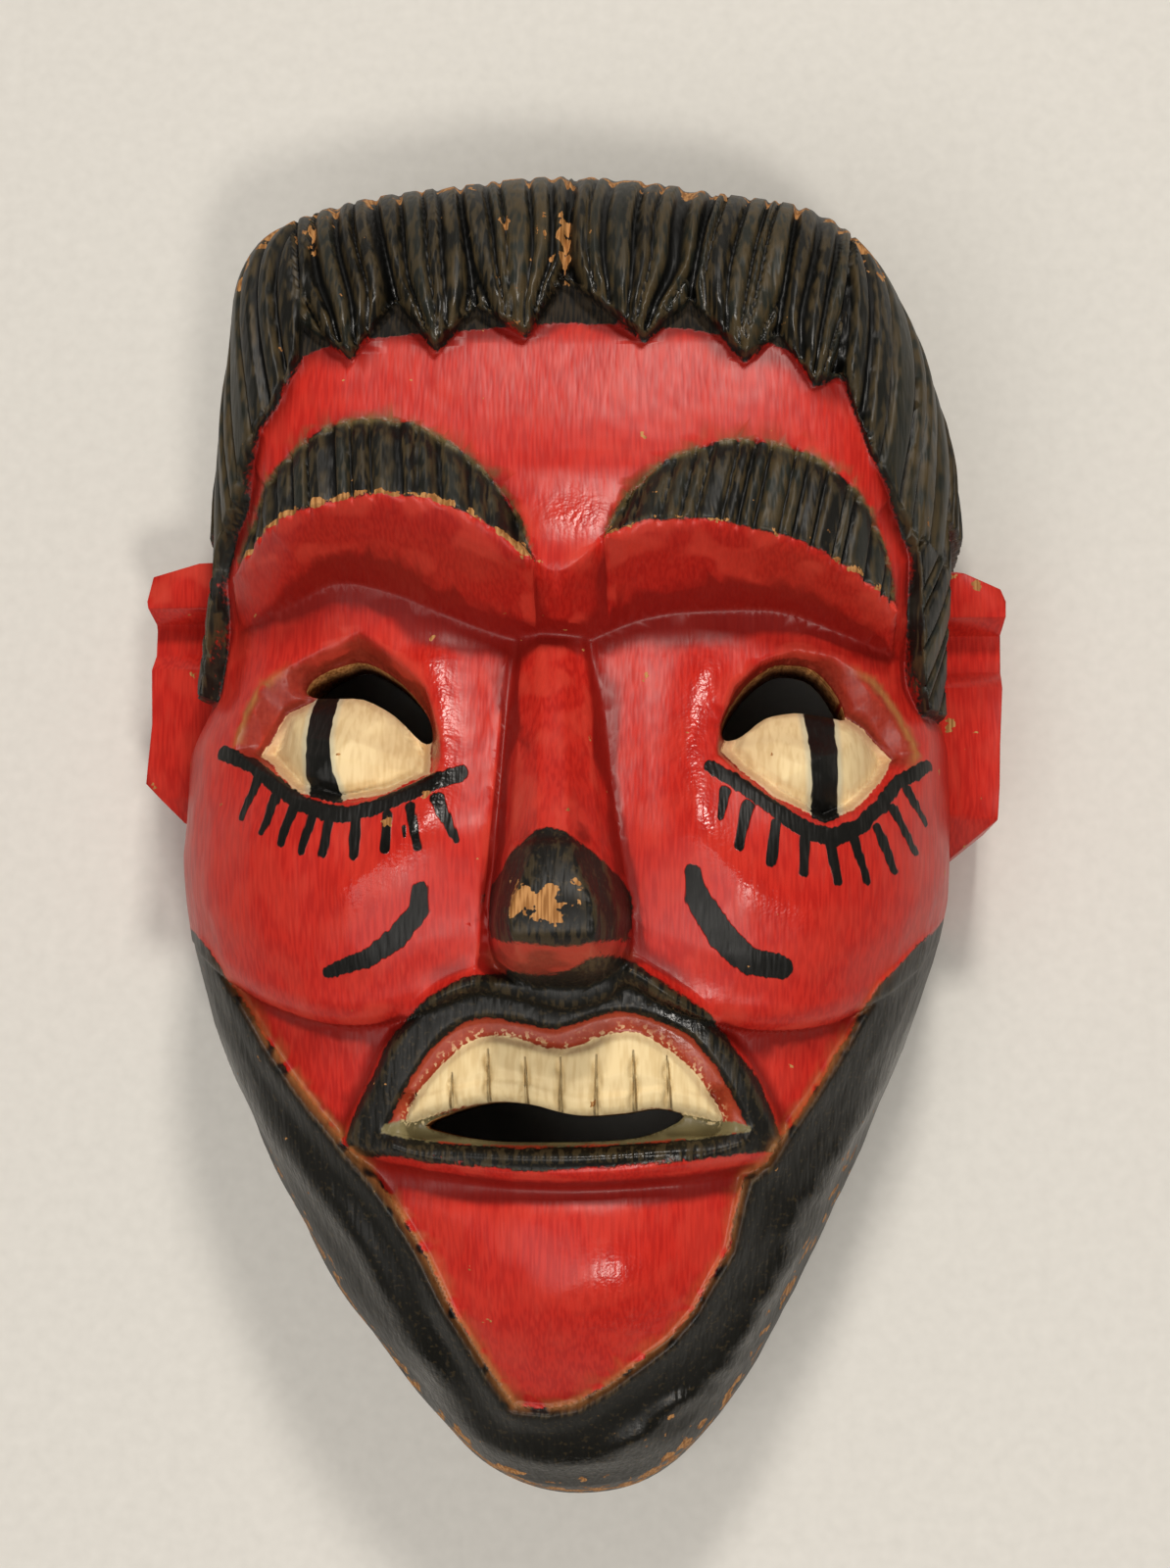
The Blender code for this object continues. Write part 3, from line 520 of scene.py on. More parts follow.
def noseHeight(x, y, ground):
    ridge = along(nose["ridge"], y)
    half = along(nose["ridgeHalf"], y)
    foot = along(nose["footHalf"], y)
    off = np.abs(x - along(nose["middle"], y))
    t = np.clip((off - half) / np.maximum(foot - half, 0.8), 0, 1)
    lost = np.interp(t, [0, nose["shoulder"], 1], [0, nose["shoulderDrop"], 1])
    crown = 0.25 * (1 - np.clip(off / np.maximum(half, 0.5), 0, 1) ** 2) * smoothStep(-42, -36, y)
    shape = (ridge + crown) * (1 - lost) + (ground - 1.0) * lost
    reach = (off < foot) & (y > -43.6) & (y < 30)
    return np.where(reach, np.maximum(shape, ground), ground)


# cheeks, eyes and the see-through slits above the eyeballs

face = {
    "ledge": [(-84, -24), (-79.2, -26.5), (-72.8, -32.5), (-63.2, -39.0), (-52.6, -43.2), (-42.6, -45.3),
              (-32.9, -44.6), (-23.4, -41.9), (-16.5, -39.6), (-8, -41.0), (0, -43.0), (8, -41.0),
              (12.0, -38.4), (19.4, -42.0), (28.6, -45.3), (39.8, -46.4), (51.3, -44.9), (61.3, -40.1),
              (70.0, -33.6), (76.2, -26.7), (84, -22)],
    "ledgeDrop": 9.5,
    "ledgeRound": 5.0,
    "cheekRise": 3.0,
    "templeCut": 3.0,
    "rollLeft": [(-26.5, 20), (-24.2, 9), (-24.0, -3), (-26.5, -12), (-32.0, -19), (-40.0, -25)],
    "rollRight": [(27.5, 17), (24.6, 5), (25.2, -8), (29.5, -17), (37.0, -25), (46.0, -29)],
    "rollRise": 1.2,
}

eyes = {
    "socketLeft": [(-66.8, 4.6), (-65.6, 12.5), (-62.6, 17.2), (-56.0, 21.6), (-47.5, 25.2), (-41.0, 27.6),
                   (-33.0, 21.8), (-27.4, 15.6), (-24.2, 6.0), (-23.4, -1.5), (-31.0, -5.5), (-40.0, -8.0),
                   (-50.0, -6.5), (-59.5, -1.0)],
    "socketRight": [(29.4, 1.0), (30.0, 7.5), (33.0, 15.6), (38.0, 20.6), (45.0, 23.4), (53.0, 22.2),
                    (61.0, 17.8), (66.6, 12.0), (70.0, 4.0), (66.5, -2.0), (58.5, -8.0), (50.0, -12.4),
                    (41.0, -8.5), (34.0, -3.0)],
    "ballLeft": [(-61.4, 4.2), (-56.4, 12.8), (-47.4, 16.6), (-39.6, 16.8), (-31.6, 11.8), (-26.4, 5.0),
                 (-25.8, -2.2), (-33.8, -6.2), (-43.8, -7.8), (-52.5, -5.0)],
    "ballRight": [(30.2, 2.6), (32.2, 8.2), (38.5, 12.4), (45.0, 13.4), (52.3, 12.4), (58.6, 8.8),
                  (64.8, 2.8), (61.4, -3.4), (55.5, -9.3), (49.7, -12.0), (40.0, -7.2), (33.6, -1.8)],
    "slitLeft": [(-52.4, 16.4), (-51.4, 19.6), (-46.0, 22.4), (-40.6, 22.9), (-33.0, 18.0), (-27.4, 10.8),
                 (-26.2, 5.4), (-28.6, 5.6), (-33.8, 10.6), (-40.4, 14.4), (-46.8, 15.0)],
    "slitRight": [(30.6, 5.4), (31.0, 10.2), (34.8, 16.4), (39.7, 20.6), (44.0, 21.8), (49.2, 20.6),
                  (53.6, 15.2), (54.8, 10.2), (50.4, 10.4), (44.6, 10.9), (38.6, 9.4), (34.4, 6.0)],
    "socketDepth": 7.0,
    "bevelSlope": 0.95,    # the eyeball's outer facets
    "bevelWide": 3.6,
    "crownSlope": 0.34,    # and the flatter ones inside them
    "crownWide": 7.5,
    "rimGroove": 0.9,
    "ballMiddle": {"Left": (-43.0, 6.0), "Right": (47.5, 4.0)},
    # the flat cuts of each eyeball: direction in degrees, distance from its middle to the cut, slope
    "cutsLeft": [(-48, 2.0, 0.50), (-100, 5.0, 0.55), (-8, 7.0, 0.35), (184, 8.0, 0.35),
                 (-150, 8.5, 0.55), (80, 4.0, 0.3)],
    "cutsRight": [(-60, 4.0, 0.50), (-112, 5.5, 0.50), (0, 8.0, 0.40), (190, 7.0, 0.40), (-20, 11.0, 0.5),
                  (95, 3.5, 0.3)],
    "wallFacet": 6.5,      # knife facets on the upper walls of the sockets
    "wallDeep": 1.1,
}


def eyeRelief(x, y, relief):
    ballAway = np.full(x.shape, -50.0)
    socketAway = np.full(x.shape, -50.0)
    for side in ("Left", "Right"):
        rim = insideDistance(eyes["socket" + side], x, y, False)
        ball = insideDistance(eyes["ball" + side], x, y, False)
        slit = insideDistance(eyes["slit" + side], x, y)
        inner = np.maximum(-np.maximum(ball, slit), 0)
        wall = np.where(rim > 0, rim / (rim + inner + 1e-6), 0)
        upper = smoothStep(-5, 7, y)
        relief = relief - eyes["socketDepth"] * wall * upper - 1.0 * wall * (1 - upper)
        nicks = knifeDishes(x, y, eyes["wallFacet"], 2.0 * eyes["wallFacet"], 14)
        onWall = smoothStep(0.0, 0.3, wall) * smoothStep(1.0, 0.7, wall)
        relief = relief + eyes["wallDeep"] * nicks * onWall * upper
        dome = np.clip(ball, 0, eyes["bevelWide"]) * eyes["bevelSlope"]
        dome = dome + np.clip(ball - eyes["bevelWide"], 0, eyes["crownWide"]) * eyes["crownSlope"]
        relief = relief + dome * (0.9 + 0.35 * upper)
        midX, midY = eyes["ballMiddle"][side]
        for turn, start, slope in eyes["cuts" + side]:
            out = (x - midX) * math.cos(math.radians(turn)) + (y - midY) * math.sin(math.radians(turn))
            relief = relief - slope * np.clip(out - start, 0, 9) * ramp(0.3, 2.0, ball)
        relief = relief - eyes["rimGroove"] * smoothStep(1.6, 0.0, np.abs(ball))
        ballAway = np.maximum(ballAway, ball)
        socketAway = np.maximum(socketAway, rim)
    return relief, ballAway, socketAway


# mouth: moustache band, lip strip, teeth, slot and lower lip

mouth = {
    "muzzle": [(-43.5, -73), (-42.8, -69.1), (-38.6, -61.1), (-33.2, -51.3), (-25.5, -44.7),
               (-19.3, -41.6), (-12.5, -40.3), (-6.9, -41.0), (-0.7, -41.5), (7.3, -39.0), (12.3, -38.3),
               (16.6, -40.5), (21.6, -43.9), (27.0, -47.8), (32.5, -53.8), (37.6, -61.7), (41.6, -70.4),
               (41.0, -76), (20, -79.5), (-0.8, -80.5), (-20, -79.0), (-38, -75.5)],
    "inner": [(-34.5, -72.0), (-33.5, -66.7), (-29.2, -59.4), (-23.6, -52.2), (-17.2, -49.1), (-9.2, -49.3),
              (-1.9, -51.0), (5.5, -48.6), (12.3, -47.7), (17.9, -49.2), (24.5, -52.8), (29.5, -58.9),
              (33.0, -64.9), (34.5, -72.0), (18, -76.5), (-0.8, -78.0), (-19, -76.8)],
    "teeth": [(-30.8, -68.4), (-26.6, -60.7), (-20.3, -54.9), (-14.2, -52.3), (-7.3, -53.5), (-0.6, -54.8),
              (4.4, -53.9), (8.6, -52.2), (12.9, -51.8), (17.8, -53.7), (23.2, -57.8), (27.6, -63.3),
              (30.0, -68.4), (23.9, -67.2), (17.8, -66.3), (11.5, -67.2), (4.3, -67.7), (-0.7, -67.2),
              (-6.8, -65.5), (-14.2, -65.0), (-23.6, -66.8)],
    "cuts": [-21.4, -14.5, -7.4, -0.7, 6.1, 13.1, 19.5],
    "cutTops": [-59.4, -54.9, -56.4, -56.4, -56.0, -55.3, -56.2],
    "slot": [(-27.4, -69.2), (-22.0, -66.6), (-14.0, -64.8), (-6.8, -65.2), (-0.7, -66.8), (4.4, -67.4),
             (11.5, -66.9), (17.8, -66.0), (22.6, -67.6), (16.0, -71.0), (7.5, -72.2), (-8.2, -72.4),
             (-16.0, -72.0), (-23.0, -70.8)],
    "lip": [(-36.4, -71.2), (-25.4, -72.6), (-13.0, -73.4), (-0.7, -73.6), (11.5, -73.2), (23.8, -72.2),
            (33.4, -70.8)],
    "teethFoot": [(-36, -69.6), (-30.8, -68.4), (-23.6, -66.8), (-14.2, -65.0), (-6.8, -65.5),
                  (-0.7, -67.2), (4.3, -67.7), (11.5, -67.2), (17.8, -66.3), (23.9, -67.2), (30.0, -68.4),
                  (36, -69.6)],
    "rollHigh": [(-38, -70.2), (-25.9, -72.3), (-13.3, -73.2), (-0.9, -73.2), (11.4, -72.8), (23.8, -71.9),
                 (34, -70.6), (38, -70.0)],
    "rollLow": [(-38, -72.0), (-28.8, -74.1), (-19.3, -76.5), (-9.3, -77.8), (-0.8, -77.8), (8.5, -77.1),
                (17.7, -76.1), (25.7, -74.7), (36, -72.6), (38, -72.2)],
    "muzzleRise": 5.5,
    "lipRise": 2.6,
    "underLip": 1.3,       # hollow between the lip and the chin
    "cutDepth": 1.9,
    "cutHalf": 1.0,
    "cutLeans": [-0.3, 0.2, 0.4, 0.0, -0.2, 0.3, 0.6],
    "bevelRise": 0.8,      # the teeth stand forward a little along their lower edge
}

chin = {
    "middle": (4.0, -101.0),
    "rise": 9.0,
    "beardEdge": [(-84, -25.5), (-74.9, -32.2), (-65.2, -44.8), (-57.3, -55.9), (-49.8, -66.0),
                  (-42.6, -73.8), (-36.9, -80.0), (-32.4, -86.7), (-27.7, -95.2), (-22.6, -105.2),
                  (-17.3, -114.6), (-11.3, -124.2), (-4.4, -124.8), (1.2, -123.6), (7.8, -119.2),
                  (13.4, -115.1), (19.5, -110.6), (24.2, -105.2), (28.0, -98.3), (31.1, -92.9),
                  (32.8, -85.9), (34.3, -79.2), (38.9, -76.0), (44.5, -67.6), (49.2, -60.8),
                  (53.3, -54.5), (57.3, -48.2), (61.5, -42.0), (67.5, -36.1), (76.8, -27.2), (84, -22.5)],
    "beardStep": 5.0,
    # height across the beard, from its inner edge outward: one roll on the left, a channel and a ridge
    # on the right
    "leftProfile": [(0, 0.0), (2.5, 0.4), (5, -0.9), (7, -0.3), (11, 2.3), (15, 1.0), (22, -0.5)],
    "rightProfile": [(0, 0.0), (2, -0.6), (5, -2.4), (8.5, -1.8), (12.5, 2.3), (16, 1.4), (24, -0.5)],
}


def mouthRelief(x, y, relief, beard):
    muzzle = insideDistance(mouth["muzzle"], x, y)
    inner = insideDistance(mouth["inner"], x, y)
    teeth = insideDistance(mouth["teeth"], x, y)
    relief = relief + mouth["muzzleRise"] * smoothStep(-1.5, 2.5, muzzle) * (beard < 0) * (y < -36)
    relief = relief - 1.6 * smoothStep(-0.9, 1.3, inner)
    relief = relief + 2.2 * smoothStep(-0.4, 1.8, teeth) + 2.0 * smoothStep(0, 9, teeth)
    toothWall = np.zeros(x.shape)
    for cut, top in zip(mouth["cuts"], mouth["cutTops"]):
        across = np.clip(1 - np.abs(x - cut - 0.25 * np.sin(y * 1.1 + cut)) / mouth["cutHalf"], 0, 1)
        across = across * smoothStep(0.2, 1.2, teeth)
        toothWall = np.maximum(toothWall, across * smoothStep(top, top - 2.5, y))
    relief = relief - mouth["cutDepth"] * toothWall
    under = along(mouth["teethFoot"], x)
    relief = relief + mouth["bevelRise"] * smoothStep(4.4, 3.4, y - under) * (teeth > 0.6)
    lip = along(mouth["lip"], x)
    across = y - (lip - 1.6)
    ends = smoothStep(38, 33, np.abs(x))
    relief = relief + mouth["lipRise"] * bump(across, 0.0, 2.4) * ends
    relief = relief - mouth["underLip"] * bump(across, -6.5, 3.4) * ends
    inLip = (teeth < 0) * smoothStep(33, 28, np.abs(x)) * (y < lip + 9) * (inner > 0)
    relief = relief - 4.0 * smoothStep(-1.0, 4.0, across) * inLip
    band = np.minimum(np.minimum(muzzle - 0.3, 0.4 - inner), across + 2.2)
    roll = np.minimum(y - along(mouth["rollLow"], x), along(mouth["rollHigh"], x) - y)
    fields = {
        "teeth": teeth,
        "toothWall": toothWall,
        "band": np.maximum(band, np.where(np.abs(x) < 38, roll, -20.0)),
        "lipStrip": np.minimum(inner + 0.3, across),
        "inLip": np.minimum(np.minimum(inner, under - y), y - along(mouth["rollHigh"], x) - 0.1),
        "flecks": bump(teeth, -0.5, 0.5),
    }
    return relief, fields


def faceRelief(x, y):
    foot = along(brows["foot"], x)
    overhang = along(brows["overhang"], x)
    height = -hair["depth"] + 2.0 * smoothStep(92, 52, y)
    height = height + 5.5 * smoothStep(58, 37, y) * smoothStep(22, 4, np.abs(x - 1.5))
    forehead = height
    for top in (brows["topLeft"], brows["topRight"]):
        edge, low = browEdges(x, top)
        span = np.maximum(edge - low, 0.5)
        t = (edge - y) / span
        rise = brows["rise"] * (0.55 + 0.45 * smoothStep(70, 56, np.abs(x)))
        start = -2.2
        brow = start + (rise - start) * np.clip(t, 0, 1.4) ** 1.2
        step = brows["topStep"] * smoothStep(0, 9, span) * smoothStep(5.0, 0.0, edge - y)
        height = np.where(y < edge, np.maximum(brow, forehead) - step, height)
    side = 1 - 0.5 * smoothStep(60, 80, np.abs(x))
    plane = along(brows["planeDepth"], y) * side
    lowPlane = along(brows["planeDepth"], overhang) * side
    t = np.clip((foot - y) / np.maximum(foot - overhang, 1.0), 0, 1)
    height = np.where(y < foot, height * (1 - t) + lowPlane * t, height)
    height = np.where(y < overhang, plane, height)
    within = np.minimum(x - along(nose["arrisLeft"], y), along(nose["arrisRight"], y) - x)
    height = height - nose["trough"] * ramp(0, 4.0, within) * smoothStep(29, 20, y)
    below = along(face["ledge"], x) - y
    lower = -face["ledgeDrop"] - 1.5 * smoothStep(0, 60, below)
    height = height - 1.2 * smoothStep(-9, 0, below) * (y < 0)
    down = 1 - np.sqrt(1 - (0.985 * ramp(0, face["ledgeRound"], below)) ** 2)
    down = np.where(below > face["ledgeRound"], 1.0, down)
    return np.where(below > 0, height * (1 - down) + lower * down, height)


def carveFace(x, y, beard):
    relief = faceRelief(x, y)
    relief, fields = mouthRelief(x, y, relief, beard)
    for side in (-1, 1):
        cheek = ((x - 40.0 * side) / 26.0) ** 2 + ((y + 22.0) / 22.0) ** 2
        relief = relief + face["cheekRise"] * np.exp(-cheek * cheek) * (y > along(face["ledge"], x) - 4.0)
    for roll in (face["rollLeft"], face["rollRight"]):
        relief = relief + face["rollRise"] * bump(lineDistance(roll, x, y), 0.0, 5.0)
    dome = ((x - chin["middle"][0]) / 30.0) ** 2 + ((y - chin["middle"][1]) / 18.0) ** 2
    relief = relief + chin["rise"] * np.exp(-dome) * (beard < 0)
    lift = smoothStep(-1.2, 1.8, beard)
    left = along(chin["leftProfile"], np.clip(beard, 0, 22))
    right = along(chin["rightProfile"], np.clip(beard, 0, 24))
    turn = smoothStep(-14, 14, x)
    knots = 0.7 * np.sin(y * 0.9 + 0.5 * np.sin(y * 0.37)) * bump(beard, 13.5, 3.2) * smoothStep(0, 20, x)
    across = left * (1 - turn) + right * turn + knots
    relief = relief * (1 - lift) + (relief + chin["beardStep"]) * lift
    relief = np.where(beard > 0, np.minimum(relief, -1.0) + across, relief)
    relief, fields["ball"], fields["socket"] = eyeRelief(x, y, relief)
    return relief, fields


def carve(cells):
    x, y, high, top = uncutSkin(cells)
    z = high * top
    normal = skinNormals(x, y, z)
    hairAway, hairFront = hairPlaces(x, y, z)
    beardRing = [(-130, -25.5)] + chin["beardEdge"] + [(130, -22.5), (130, -200), (-130, -200)]
    beard = insideDistance(beardRing, x, y, False)
    relief, marks = carveFace(x, y, beard)
    valleys = hair["partingValleys"]
    under = smoothStep(82, 91, y) * (x > valleys[0][0]) * (x < valleys[-1][0])
    relief = relief - hair["underCut"] * under
    mix = smoothStep(-0.7, 0.3, hairAway)
    relief = relief * (1 - mix)
    newZ = high * (top + relief)
    newZ = np.where(high > 0.2, noseHeight(x, y, newZ), newZ)
    steep = smoothStep(0.85, 0.5, normal[..., 2])
    cut, hairWall, hairTone = hairStrands(x, y, z)
    facing = normal[..., 2]
    sawn = 1 - 0.75 * smoothStep(0.75, 0.25, facing) * smoothStep(96, 112, y)
    groove = cut * hair["strandDepth"] * smoothStep(0.0, 1.0, hairAway) * sawn
    browCut, browWall, browTone = browStrands(x, y)
    groove = groove + browCut * brows["strandDepth"]
    groove = groove - lockLift(x, hairFront)
    groove = groove + face["templeCut"] * steep * smoothStep(6, 20, y) * (1 - mix)
    plain = (1 - mix) * smoothStep(1.0, -0.5, marks["ball"]) * smoothStep(0.5, -1.0, marks["teeth"])
    plain = plain * (1 - 0.7 * smoothStep(30, 42, y))
    dishes = knifeDishes(x, y, block["knifeWide"], block["knifeHigh"], 3)
    wallDishes = knifeDishes(z, y, block["knifeWide"], block["knifeHigh"], 4)
    knife = (1 - dishes) * (1 - steep) + (1 - wallDishes) * steep
    groove = groove + block["knifeDeep"] * knife * plain
    groove = groove - block["uneven"] * (softNoise(x, y + z, 34.0, 5) - 0.6) * smoothStep(0.0, 0.2, high)
    point = np.stack([x, y, newZ], -1) - normal * groove[..., None]
    point[..., 2] = np.where(high <= 1e-6, 0.0, np.maximum(point[..., 2], 0.0))
    brow, browTop = browPlaces(x, y)
    paintLine = y - np.interp(x, *np.array(hair["paintLine"]).T)
    paintLine = np.where((x > -58) & (x < 60) & (y > 58), paintLine, -50.0)
    toothWall = marks.pop("toothWall")
    patch = insideDistance(nose["blackPatch"], x, y)
    onNose = along(nose["footHalf"], y) + 1.0 - np.abs(x - along(nose["middle"], y))
    noseInk = np.minimum.reduce([patch, point[..., 2] - nose["blackAbove"], onNose])
    noseUnder = np.minimum.reduce([-36.6 - y, y + 43.6, onNose])
    offRim = smoothStep(0.02, 0.1, high)
    marks.update({
        "hairInk": np.maximum.reduce([hairAway + 0.6, paintLine, brow]),
        "underHair": np.minimum(paintLine, -0.4 - hairAway),
        "beardInk": np.maximum.reduce([beard, marks.pop("band"), noseInk]),
        "chips": chipPlaces(x, y, facing, brow, beard),
        "wornLine": wornLines(x, y, beard, browTop, brow, marks["socket"]),
        # where painted shade goes: the upper socket walls and the underside of the nose
        "socketWallShade": np.maximum(np.minimum(marks.pop("socket"), y - 1.0), noseUnder),
        "groove": np.maximum.reduce([hairWall * smoothStep(0.0, 1.0, hairAway), browWall, toothWall]),
        "strand": np.where(hairAway > -0.5, hairTone, browTone),
        "ridge": raisedEdges(point, normal, 3) * offRim,
        # painted shade: sunken places and the faces under the brows are marked to be darkened
        "sunkShade": np.maximum(-raisedEdges(point, normal, 9) * offRim, 0.55 * underBrowShade(x, y)),
        "polished": polishedPlaces(x, y, hairFront, beard),
    })
    return point, marks


chipSpots = [(-51.9, 111.1, 3.0), (-12.1, 109.2, 2.0), (-0.4, 110.0, 2.6), (-0.3, 106.0, 3.2),
             (-0.3, 102.0, 2.2), (-83.3, 25.6, 3.0), (81.9, 16.0, 3.0), (82.3, 45.0, 2.0),
             (89.3, 40.7, 3.0), (-6.0, -29.3, 3.4), (-2.0, -29.3, 3.4), (2.0, -29.6, 3.0),
             (-1.0, -33.6, 1.4)]


def chipPlaces(x, y, facing, brow, beard):
    # where handling has taken the paint off: 0 nowhere, 1 nearly everywhere
    topEdge = 0.85 * bump(facing, 0.42, 0.14) * smoothStep(92, 104, y)
    browFoot = bump(brow, 0.3, 0.9) * smoothStep(-0.5, 1.5, along(brows["foot"], x) + 2.5 - y)
    browFoot = browFoot * (0.95 - 0.35 * smoothStep(0, 20, x))
    chinEdge = 0.98 * bump(facing, 0.24, 0.17) * smoothStep(-120, -134, y)
    beardRim = 0.72 * bump(facing, 0.20, 0.10) * (beard > 2) * smoothStep(-40, -100, y)
    chips = np.maximum.reduce([topEdge, browFoot, chinEdge, beardRim])
    for sx, sy, size in chipSpots:
        chips = np.maximum(chips, 1.25 * np.exp(-((x - sx) ** 2 + (y - sy) ** 2) / size ** 2))
    return chips


polishedSpots = [(2.4, 47.0, 6.5, 4.5), (12.0, -101.0, 12.0, 11.0), (22.0, -49.0, 9.0, 6.0),
                 (12.0, -74.5, 14.0, 2.5), (4.0, -136.0, 16.0, 5.0), (-28.0, -118.0, 5.0, 12.0)]


def polishedPlaces(x, y, hairFront, beard):
    # where hands have rubbed the paint bright: lock tips, the rolls beside the nose, bridge, chin, lip, beard
    shine = 0.7 * smoothStep(9.0, 1.0, hairFront) * smoothStep(-0.5, 0.5, hairFront)
    for roll in (face["rollLeft"], face["rollRight"]):
        shine = np.maximum(shine, bump(lineDistance(roll, x, y), 0.0, 3.6))
    shine = np.maximum(shine, 0.7 * bump(beard, 12.0, 2.5))
    for sx, sy, wide, high in polishedSpots:
        shine = np.maximum(shine, np.exp(-((x - sx) / wide) ** 2 - ((y - sy) / high) ** 2))
    return shine


def underBrowShade(x, y):
    # painted shade: the red is darkened on the steep faces below the brows
    return smoothStep(0, 2, along(brows["foot"], x) - y) * smoothStep(-1, 2, y - along(brows["overhang"], x))


def wornLines(x, y, beard, browTop, brow, socket):
    # arrises rubbed to the brown ground: along the beard, over the brows, round the eyes' outer ends
    beardLine = bump(beard, -0.2, 1.1) * smoothStep(-30, -60, y) * (0.85 - 0.25 * smoothStep(0, 30, x))
    browLine = 0.9 * bump(browTop, 0.2, 0.8) * (brow > -1.5)
    outer = smoothStep(54, 62, np.abs(x)) * smoothStep(-1, 4, y)
    eyeLine = 0.9 * bump(socket, 0.3, 0.8) * outer
    return np.maximum.reduce([beardLine, browLine, eyeLine])


def blurred(values, reach):
    for axis in (0, 1):
        padded = np.concatenate([np.repeat(values.take([0], axis), reach, axis), values,
                                 np.repeat(values.take([-1], axis), reach, axis)], axis)
        total = np.cumsum(padded, axis)
        zero = np.zeros_like(total.take([0], axis))
        total = np.concatenate([zero, total], axis)
        size = values.shape[axis]
        high = total.take(range(2 * reach + 1, 2 * reach + 1 + size), axis)
        values = (high - total.take(range(size), axis)) / (2 * reach + 1)
    return values


def raisedEdges(point, normal, reach):
    # how far a place stands above the mean of its surroundings, in millimetres
    return np.sum((point - blurred(point, reach)) * normal, -1)


# mesh makers

def deselect():
    if bpy.context.mode != "OBJECT":
        bpy.ops.object.mode_set(mode="OBJECT")
    bpy.ops.object.select_all(action="DESELECT")


def setPoints(item, point):
    item.data.vertices.foreach_set("co", np.asarray(point, np.float32).ravel())
    item.data.update()


def gridShell(name, point, foot=None):
    # a grid primitive moved onto the carved points, its border closed by one face
    cells = point.shape[0] - 1
    deselect()
    bpy.ops.mesh.primitive_grid_add(x_subdivisions=cells, y_subdivisions=cells, size=2)
    item = bpy.context.object
    item.name = name
    setPoints(item, point.reshape(-1, 3) * 0.001)
    bpy.ops.object.mode_set(mode="EDIT")
    bpy.ops.mesh.select_all(action="DESELECT")
    bpy.ops.mesh.select_mode(type="EDGE")
    bpy.ops.mesh.select_non_manifold()
    if foot is not None:
        bpy.ops.mesh.extrude_region_move(TRANSFORM_OT_translate={"value": (0, 0, foot * 0.001)})
    bpy.ops.mesh.edge_face_add()
    bpy.ops.mesh.select_all(action="SELECT")
    bpy.ops.mesh.normals_make_consistent(inside=False)
    bpy.ops.object.mode_set(mode="OBJECT")
    return item


def outlineBlock(name, ring, axis, low, high, smooth=True):
    # a disc set to an outline and extruded through
    outline = smoothCurve(ring, True, 3) if smooth else np.array(ring, float)
    deselect()
    bpy.ops.mesh.primitive_circle_add(vertices=len(outline), radius=1, fill_type="NGON")
    item = bpy.context.object
    item.name = name
    columns = (outline[:, 0], outline[:, 1], np.full(len(outline), low))
    if axis == "x":
        columns = (np.full(len(outline), low), outline[:, 0], outline[:, 1])
    setPoints(item, np.stack(columns, -1) * 0.001)
    step = (high - low) * 0.001
    bpy.ops.object.mode_set(mode="EDIT")
    bpy.ops.mesh.select_all(action="SELECT")
    move = (0, 0, step) if axis == "z" else (step, 0, 0)
    bpy.ops.mesh.extrude_region_move(TRANSFORM_OT_translate={"value": move})
    bpy.ops.mesh.select_all(action="SELECT")
    bpy.ops.mesh.normals_make_consistent(inside=False)
    bpy.ops.object.mode_set(mode="OBJECT")
    return item


def combine(target, tool, operation):
    step = target.modifiers.new("cut", "BOOLEAN")
    step.operation = operation
    step.solver = "MANIFOLD"
    step.object = tool
    bpy.context.view_layer.objects.active = target
    bpy.ops.object.modifier_apply(modifier=step.name)
    bpy.data.objects.remove(tool, do_unlink=True)


def weld(item, reach):
    deselect()
    item.select_set(True)
    bpy.context.view_layer.objects.active = item
    bpy.ops.object.mode_set(mode="EDIT")
    bpy.ops.mesh.select_all(action="SELECT")
    bpy.ops.mesh.remove_doubles(threshold=reach * 0.001)
    bpy.ops.mesh.dissolve_degenerate(threshold=reach * 0.0005)
    bpy.ops.mesh.quads_convert_to_tris()
    bpy.ops.object.mode_set(mode="OBJECT")


# ears: a slab with a fold on top and a lobe below, cut in flat faces

ears = {
    "frontLeft": [(-66, 50.5), (-80, 49.8), (-89.7, 46.9), (-90.9, 41.5), (-90.1, 36.5), (-89.6, 15.4),
                  (-90.4, 6.0), (-91.0, 2.8), (-83.5, -5.0), (-66, -9)],
    "frontRight": [(66, 49.5), (81.8, 46.3), (89.6, 42.6), (91.0, 39.7), (90.3, 34.4), (90.0, 24.6),
                   (89.0, 10.0), (88.3, -5.9), (78.5, -13.7), (66, -17)],
    "sideLeft": [(-10, 11), (-8, 27), (0, 33), (6, 35.5), (27, 36), (31, 31), (38, 29.5), (40, 37.5),
                 (50, 37), (53, 30), (53, 14), (46, 9), (4, 8)],
    "sideRight": [(-18, 11), (-16, 25), (-5, 35), (1, 36.5), (22, 35), (26, 30.5), (34, 29.5), (36.5, 37.5),
                  (46, 37), (50, 30), (50, 14), (42, 9), (-4, 8)],
    "scoop": 3.0,
    "edge": 0.9,           # worn roundness of the edges
    "slab": (8.0, 40.0),   # how far off the floor an ear starts and ends
    "reach": (60.0, 94.0),
    "oval": (15.0, 7.5),   # half sizes of the scooped hollow
    "ovalHigh": 21.5,
}


